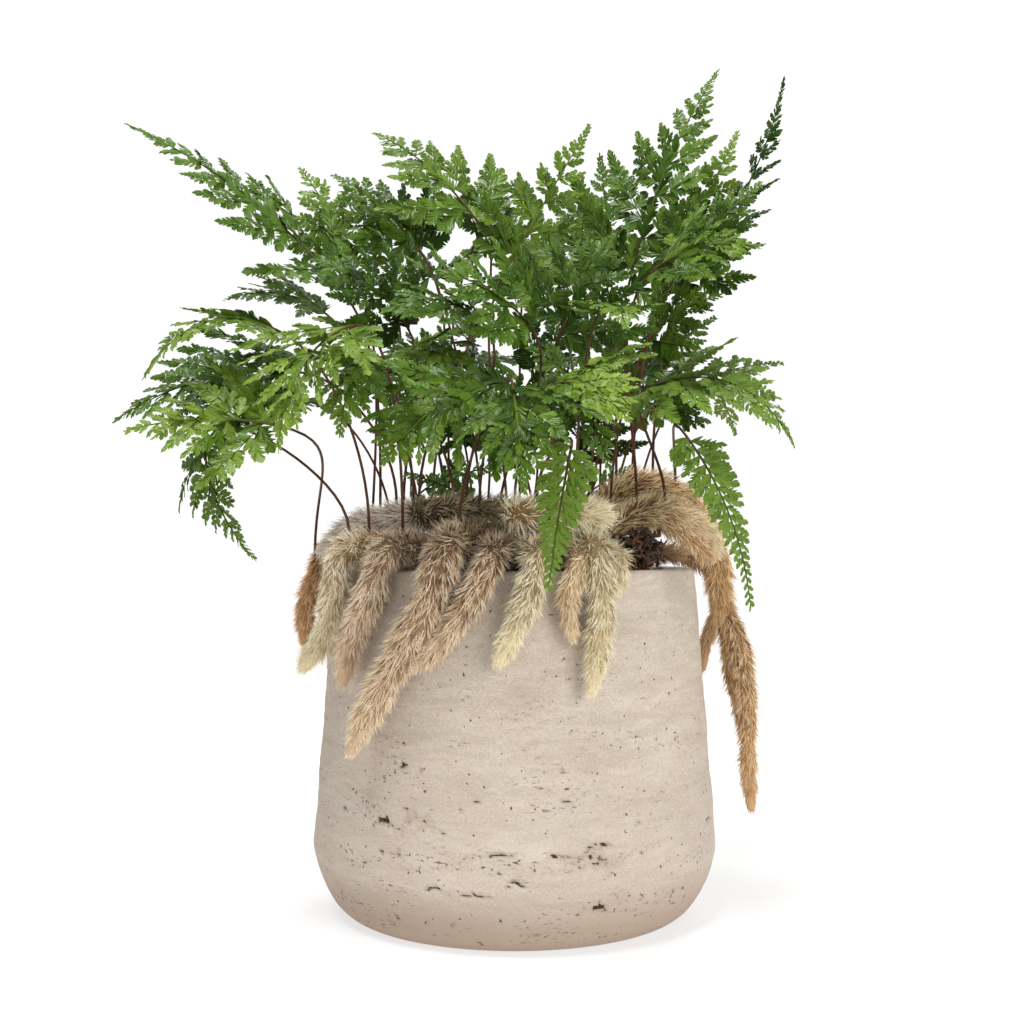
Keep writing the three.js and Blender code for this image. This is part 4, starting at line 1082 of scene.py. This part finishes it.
def add_pinna(shell, rng, blade_frame, side, length, room, angle, tone, lowest, lance):
    """One pinna: a single leaflet, or a rib with pinnules on both sides, shorter towards its tip."""
    place, along, normal, sideways = blade_frame
    sideways = sideways * side
    if length < SMALL_PINNA or lance:
        wide = min(LEAFLET_WIDTH * room / length, MOST_LEAFLET_WIDTH)
        add_pinnule(shell, rng, place, turned(along, sideways, angle), normal, length, tone + 0.1, wide)
        return
    roll = rng.normal(0, PINNA_ROLL)
    length = length * rng.uniform(*PINNA_LENGTHS)
    sag = PINNA_SAG + rng.uniform(-PINNA_SAGS, PINNA_SAGS)
    shares = np.linspace(0, 1, 24)
    headings = turned(along, sideways, angle - math.radians(PINNA_CURL) * shares / 2)
    shares = shares[:, None]
    rib = Path(place + headings * shares * length - UP * sag * length * shares**2)
    wide = PINNULE_FILL * 0.5 * room * math.sin(angle) / math.sin(math.radians(PINNULE_ANGLE))
    wide = min(wide, 0.42 * length, PINNULE_MOST)
    for half in (1, -1):
        reach = wide * (LOWER_BASAL if lowest and half < 0 else 1.0)
        add_pinnule_row(shell, rng, rib, normal, roll, length, reach, side * half, half > 0, tone)
    end = PINNATE_SHARE - 0.02
    here, ahead, up, _ = frame_at(rib, end, normal)
    size = max(length * (1 - end) * 1.15, PINNULE_LEAST * 1.3)
    add_pinnule(shell, rng, here, ahead, up, size, tone + 0.1, END_WIDTH)
    shown = rib.at(np.linspace(0, end, 6))
    tube(shell, shown, np.linspace(*RIB_RADIUS, 6), 3, tone=tone - 0.1, wood=0.12)


def add_pinnule_row(shell, rng, rib, face, roll, length, reach, side, upper, tone):
    """The pinnules on one side of a pinna's rib, each leaning towards its tip."""
    share = (0.02 if upper else 0.06) + rng.uniform(0, 0.02)
    longer = FIRST_PINNULE if upper else 1.0
    while share < PINNATE_SHARE:
        size = reach * (1 - share) ** PINNULE_TAPER * longer * rng.uniform(*PINNULE_SIZES)
        size = max(min(size, 0.6 * length), PINNULE_LEAST)
        here, ahead, up, aside = frame_at(rib, share, face, roll)
        angle = PINNULE_ANGLE + rng.normal(0, PINNULE_TURN) - 12 * share
        leaf = turned(ahead, -side * aside, math.radians(angle))
        add_pinnule(shell, rng, here, leaf, up, size, tone + rng.normal(0, PINNULE_TONES) + 0.10 * share)
        share += PINNULE_SPACING * size / length
        longer = 1.0


def build_frond(row, ground, leaf):
    """One frond, with the young ones that are grown into its piece."""
    name, colour = row[0], row[-1]
    rng = rng_for(name)
    shell = Shell("tone", "wood")
    for grown in [row] + [young for young in YOUNG_FRONDS if young[0] == name]:
        grow_frond(shell, rng, grown, ground)
    shell.piece(f"lacy_{name}", leaf[colour], f"frond_{name}")


def pair_room(blade, share, spread, pairs, lance):
    """Room along the blade from one pair of pinnae to the next."""
    if lance:
        return lance[1] * (1 - 0.4 * share)
    room = blade.length * PAIR_CROWDING / (pairs * PAIRS_FINER) * (1 - share) ** PAIR_THINNING
    room = max(room, LEAST_ROOM * (1 - 0.45 * share**2))
    length = spread * (1 - share) ** PINNA_SHORTENING
    most = TIP_ROOM if length < SMALL_PINNA else MOST_ROOM
    return min(room, max(most * length, TIP_LEAST_ROOM))


def pinna_length(share, spread, lance):
    if lance:
        return max(lance[0] * (1 - share) ** lance[2], PINNULE_LEAST)
    return max(spread * (1 - share) ** PINNA_SHORTENING, PINNULE_LEAST * (1 - 0.25 * share**5))


def grow_frond(shell, rng, row, ground):
    """The stipe, rachis and pinnae of one frond."""
    name, root, base, tip, arch, spread, face, pairs, _ = row
    base, tip, face = np.array(base, float), np.array(tip, float), unit(np.array(face, float))
    lance = LANCES.get(name)
    chord = tip - base
    bulge = unit(face - chord * np.dot(face, chord) / np.dot(chord, chord))
    rise = bulge * arch / CUBIC_RISE
    blade = Path(cubic(base, base + chord / 3 + rise, tip - chord / 3 + rise, tip))
    tone = 0.5 + rng.normal(0, FROND_TONES) + PALER.get(name, 0)
    share = 0.0
    while share < LAST_PAIR:
        room = pair_room(blade, share, spread, pairs, lance)
        for side in (1, -1):
            place = min(share + (0 if side > 0 else PAIR_OFFSET * room / blade.length), LAST_PINNA)
            angle = PINNA_ANGLE_BASE + (PINNA_ANGLE_TIP - PINNA_ANGLE_BASE) * place - TIP_LEAN * place**5
            angle = math.radians(angle) + rng.normal(0, PINNA_TURN)
            length = pinna_length(place, spread, lance)
            here = frame_at(blade, place, face)
            add_pinna(shell, rng, here, side, length, room, angle, tone + 0.12 * place, share == 0, lance)
        share += room / blade.length
    here, ahead, up, _ = frame_at(blade, BLADE_END, face)
    add_pinnule(shell, rng, here, ahead, up, 0.06 * blade.length, tone + 0.2, 0.5)
    add_stipe(shell, root_at(root, ground), base, blade, rng.random())
    green = np.clip(1.0 - RACHIS_GREENING * np.linspace(0, 1, 18), 0.15, 1.0)
    rachis = blade.at(np.linspace(0, BLADE_END, 18))
    tube(shell, rachis, np.linspace(*RACHIS_RADIUS, 18), 5, tone=0.5, wood=green)


def add_stipe(shell, foot, base, blade, tone):
    """The brown stalk from the root to the base of the blade."""
    reach = np.linalg.norm(base - foot)
    before = base - blade.along(0)[0] * reach * STIPE_LEAN
    stipe = Path(cubic(foot, foot + UP * reach * STIPE_RISE, before, base))
    centres = np.concatenate([[foot - UP * STIPE_SINK], stipe.at(np.linspace(0, 1, 16))])
    tube(shell, centres, np.linspace(*STIPE_RADIUS, 17), 6, tone=tone, wood=1.0)


def root_at(place, ground):
    """Where a stipe starts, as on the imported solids: just above what lies under its place."""
    above = Vector((place[0] * MM, place[1] * MM, POT_HEIGHT * 2 * MM))
    hit, normal, _, _ = ground.ray_cast(above, Vector((0, 0, -1)))
    level = max(0.5, normal.z)
    corner = STIPE_FOOT * math.sqrt(0.5) * math.sqrt(1 - level * level)
    return np.array(hit) / MM + UP * (ROOT_GAP + corner) / level


def ground_tree():
    """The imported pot, soil and rhizomes, for rays."""
    points, triangles = [], []
    for name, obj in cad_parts.items():
        if name.startswith("frond"):
            continue
        first = len(points)
        points += [vertex.co.copy() for vertex in obj.data.vertices]
        triangles += [[first + k for k in face.vertices] for face in obj.data.polygons]
    return BVHTree.FromPolygons(points, triangles)


def leaves(name, dark, middle, light):
    """Leathery green, uneven from leaflet to leaflet, with brown stipes."""
    nodes = Nodes(name)
    patches = nodes.noise(45.0, 3.0, 0.6)
    fine = nodes.noise(700.0, 3.0, 0.6)
    along = nodes.weighted((nodes.attribute("tone"), 0.75), (patches, 0.35), (fine, 0.12))
    green = nodes.ramp(along, (0.34, dark), (0.59, middle), (0.87, light))
    streaks = nodes.noise(160.0, 3.0, 0.6)
    brown = nodes.ramp(streaks, (0.3, (0.045, 0.018, 0.011)), (0.7, (0.13, 0.055, 0.026)))
    nodes.principled(
        Base_Color=nodes.mix(nodes.attribute("wood"), green, brown),
        Roughness=nodes.spread(patches, 0.3, 0.7, 0.28, 0.46),
        Normal=nodes.bump(fine, 0.25, 0.0004), Specular_IOR_Level=0.22,
    )
    return nodes.material


def build_fronds():
    ground = ground_tree()
    leaf = {name: leaves(f"leaf_{name}", *colours) for name, colours in LEAVES.items()}
    for row in FRONDS:
        build_frond(row, ground, leaf)


# Stage, light and camera, in metres
CAMERA_PLACE = (0.0, -0.5663, 0.1459)
CAMERA_PITCH = 1.22
CAMERA_YAW = 0.115
CAMERA_LENS = 49.2
CAMERA_SENSOR = 36
FLOOR_RADIUS = 0.8
FLOOR_WHITE = 0.36
FLOOR_GLOW = 0.65
BACKDROP = 1.05
AMBIENT = 0.40
WHITE = (1.0, 1.0, 1.0)
# Lights: name, place, what it looks at, size, power and colour
LIGHTS = [
    ("top_light", (-0.7, -0.9, 3.4), (0, 0.15, 0), 1.3, 138, WHITE),
    ("back_light", (0.9, 1.9, 1.3), (0, 0, 0.18), 1.4, 24, WHITE),
    ("side_light", (1.3, -1.7, 0.7), (0, 0, 0.10), 1.2, 23, (1.0, 0.99, 0.97)),
]


def build_lights():
    for name, place, target, size, power, colour in LIGHTS:
        light = bpy.data.lights.new(name, "AREA")
        light.shape = "SQUARE"
        light.size = size
        light.energy = power
        light.color = colour
        obj = linked(name, light)
        obj.location = place
        obj.rotation_euler = (Vector(target) - Vector(place)).to_track_quat("-Z", "Y").to_euler()


def build_floor():
    mesh = bpy.data.meshes.new("floor")
    corners = [polar(turn, FLOOR_RADIUS, 0) for turn in np.linspace(90, 450, 64, endpoint=False)]
    mesh.from_pydata(corners, [], [range(64)])
    nodes = Nodes("pale_floor")
    nodes.principled(
        Base_Color=(FLOOR_WHITE,) * 3, Roughness=0.9, Specular_IOR_Level=0.0, Emission_Color=WHITE,
        Emission_Strength=FLOOR_GLOW,
    )
    mesh.materials.append(nodes.material)
    floor = linked("floor", mesh)


def build_world():
    """A backdrop that is brighter to the camera than the light it gives."""
    world = bpy.data.worlds.new("studio")
    world.use_nodes = True
    tree = world.node_tree
    background = tree.nodes["Background"]
    background.inputs["Color"].default_value = (*WHITE, 1.0)
    seen = tree.nodes.new("ShaderNodeLightPath").outputs["Is Camera Ray"]
    strength = tree.nodes.new("ShaderNodeMath")
    strength.operation = "MULTIPLY_ADD"
    tree.links.new(seen, strength.inputs[0])
    strength.inputs[1].default_value = BACKDROP - AMBIENT
    strength.inputs[2].default_value = AMBIENT
    tree.links.new(strength.outputs[0], background.inputs["Strength"])
    bpy.context.scene.world = world
    bpy.context.scene.view_settings.view_transform = "Standard"


def build_camera():
    camera = bpy.data.cameras.new("camera")
    camera.lens = CAMERA_LENS
    camera.sensor_width = CAMERA_SENSOR
    obj = linked("camera", camera)
    obj.location = CAMERA_PLACE
    obj.rotation_euler = (math.radians(90 + CAMERA_PITCH), 0, math.radians(CAMERA_YAW))
    bpy.context.scene.camera = obj


build_pot()
build_soil()
build_rhizomes()
build_fronds()
build_floor()
build_world()
build_lights()
build_camera()
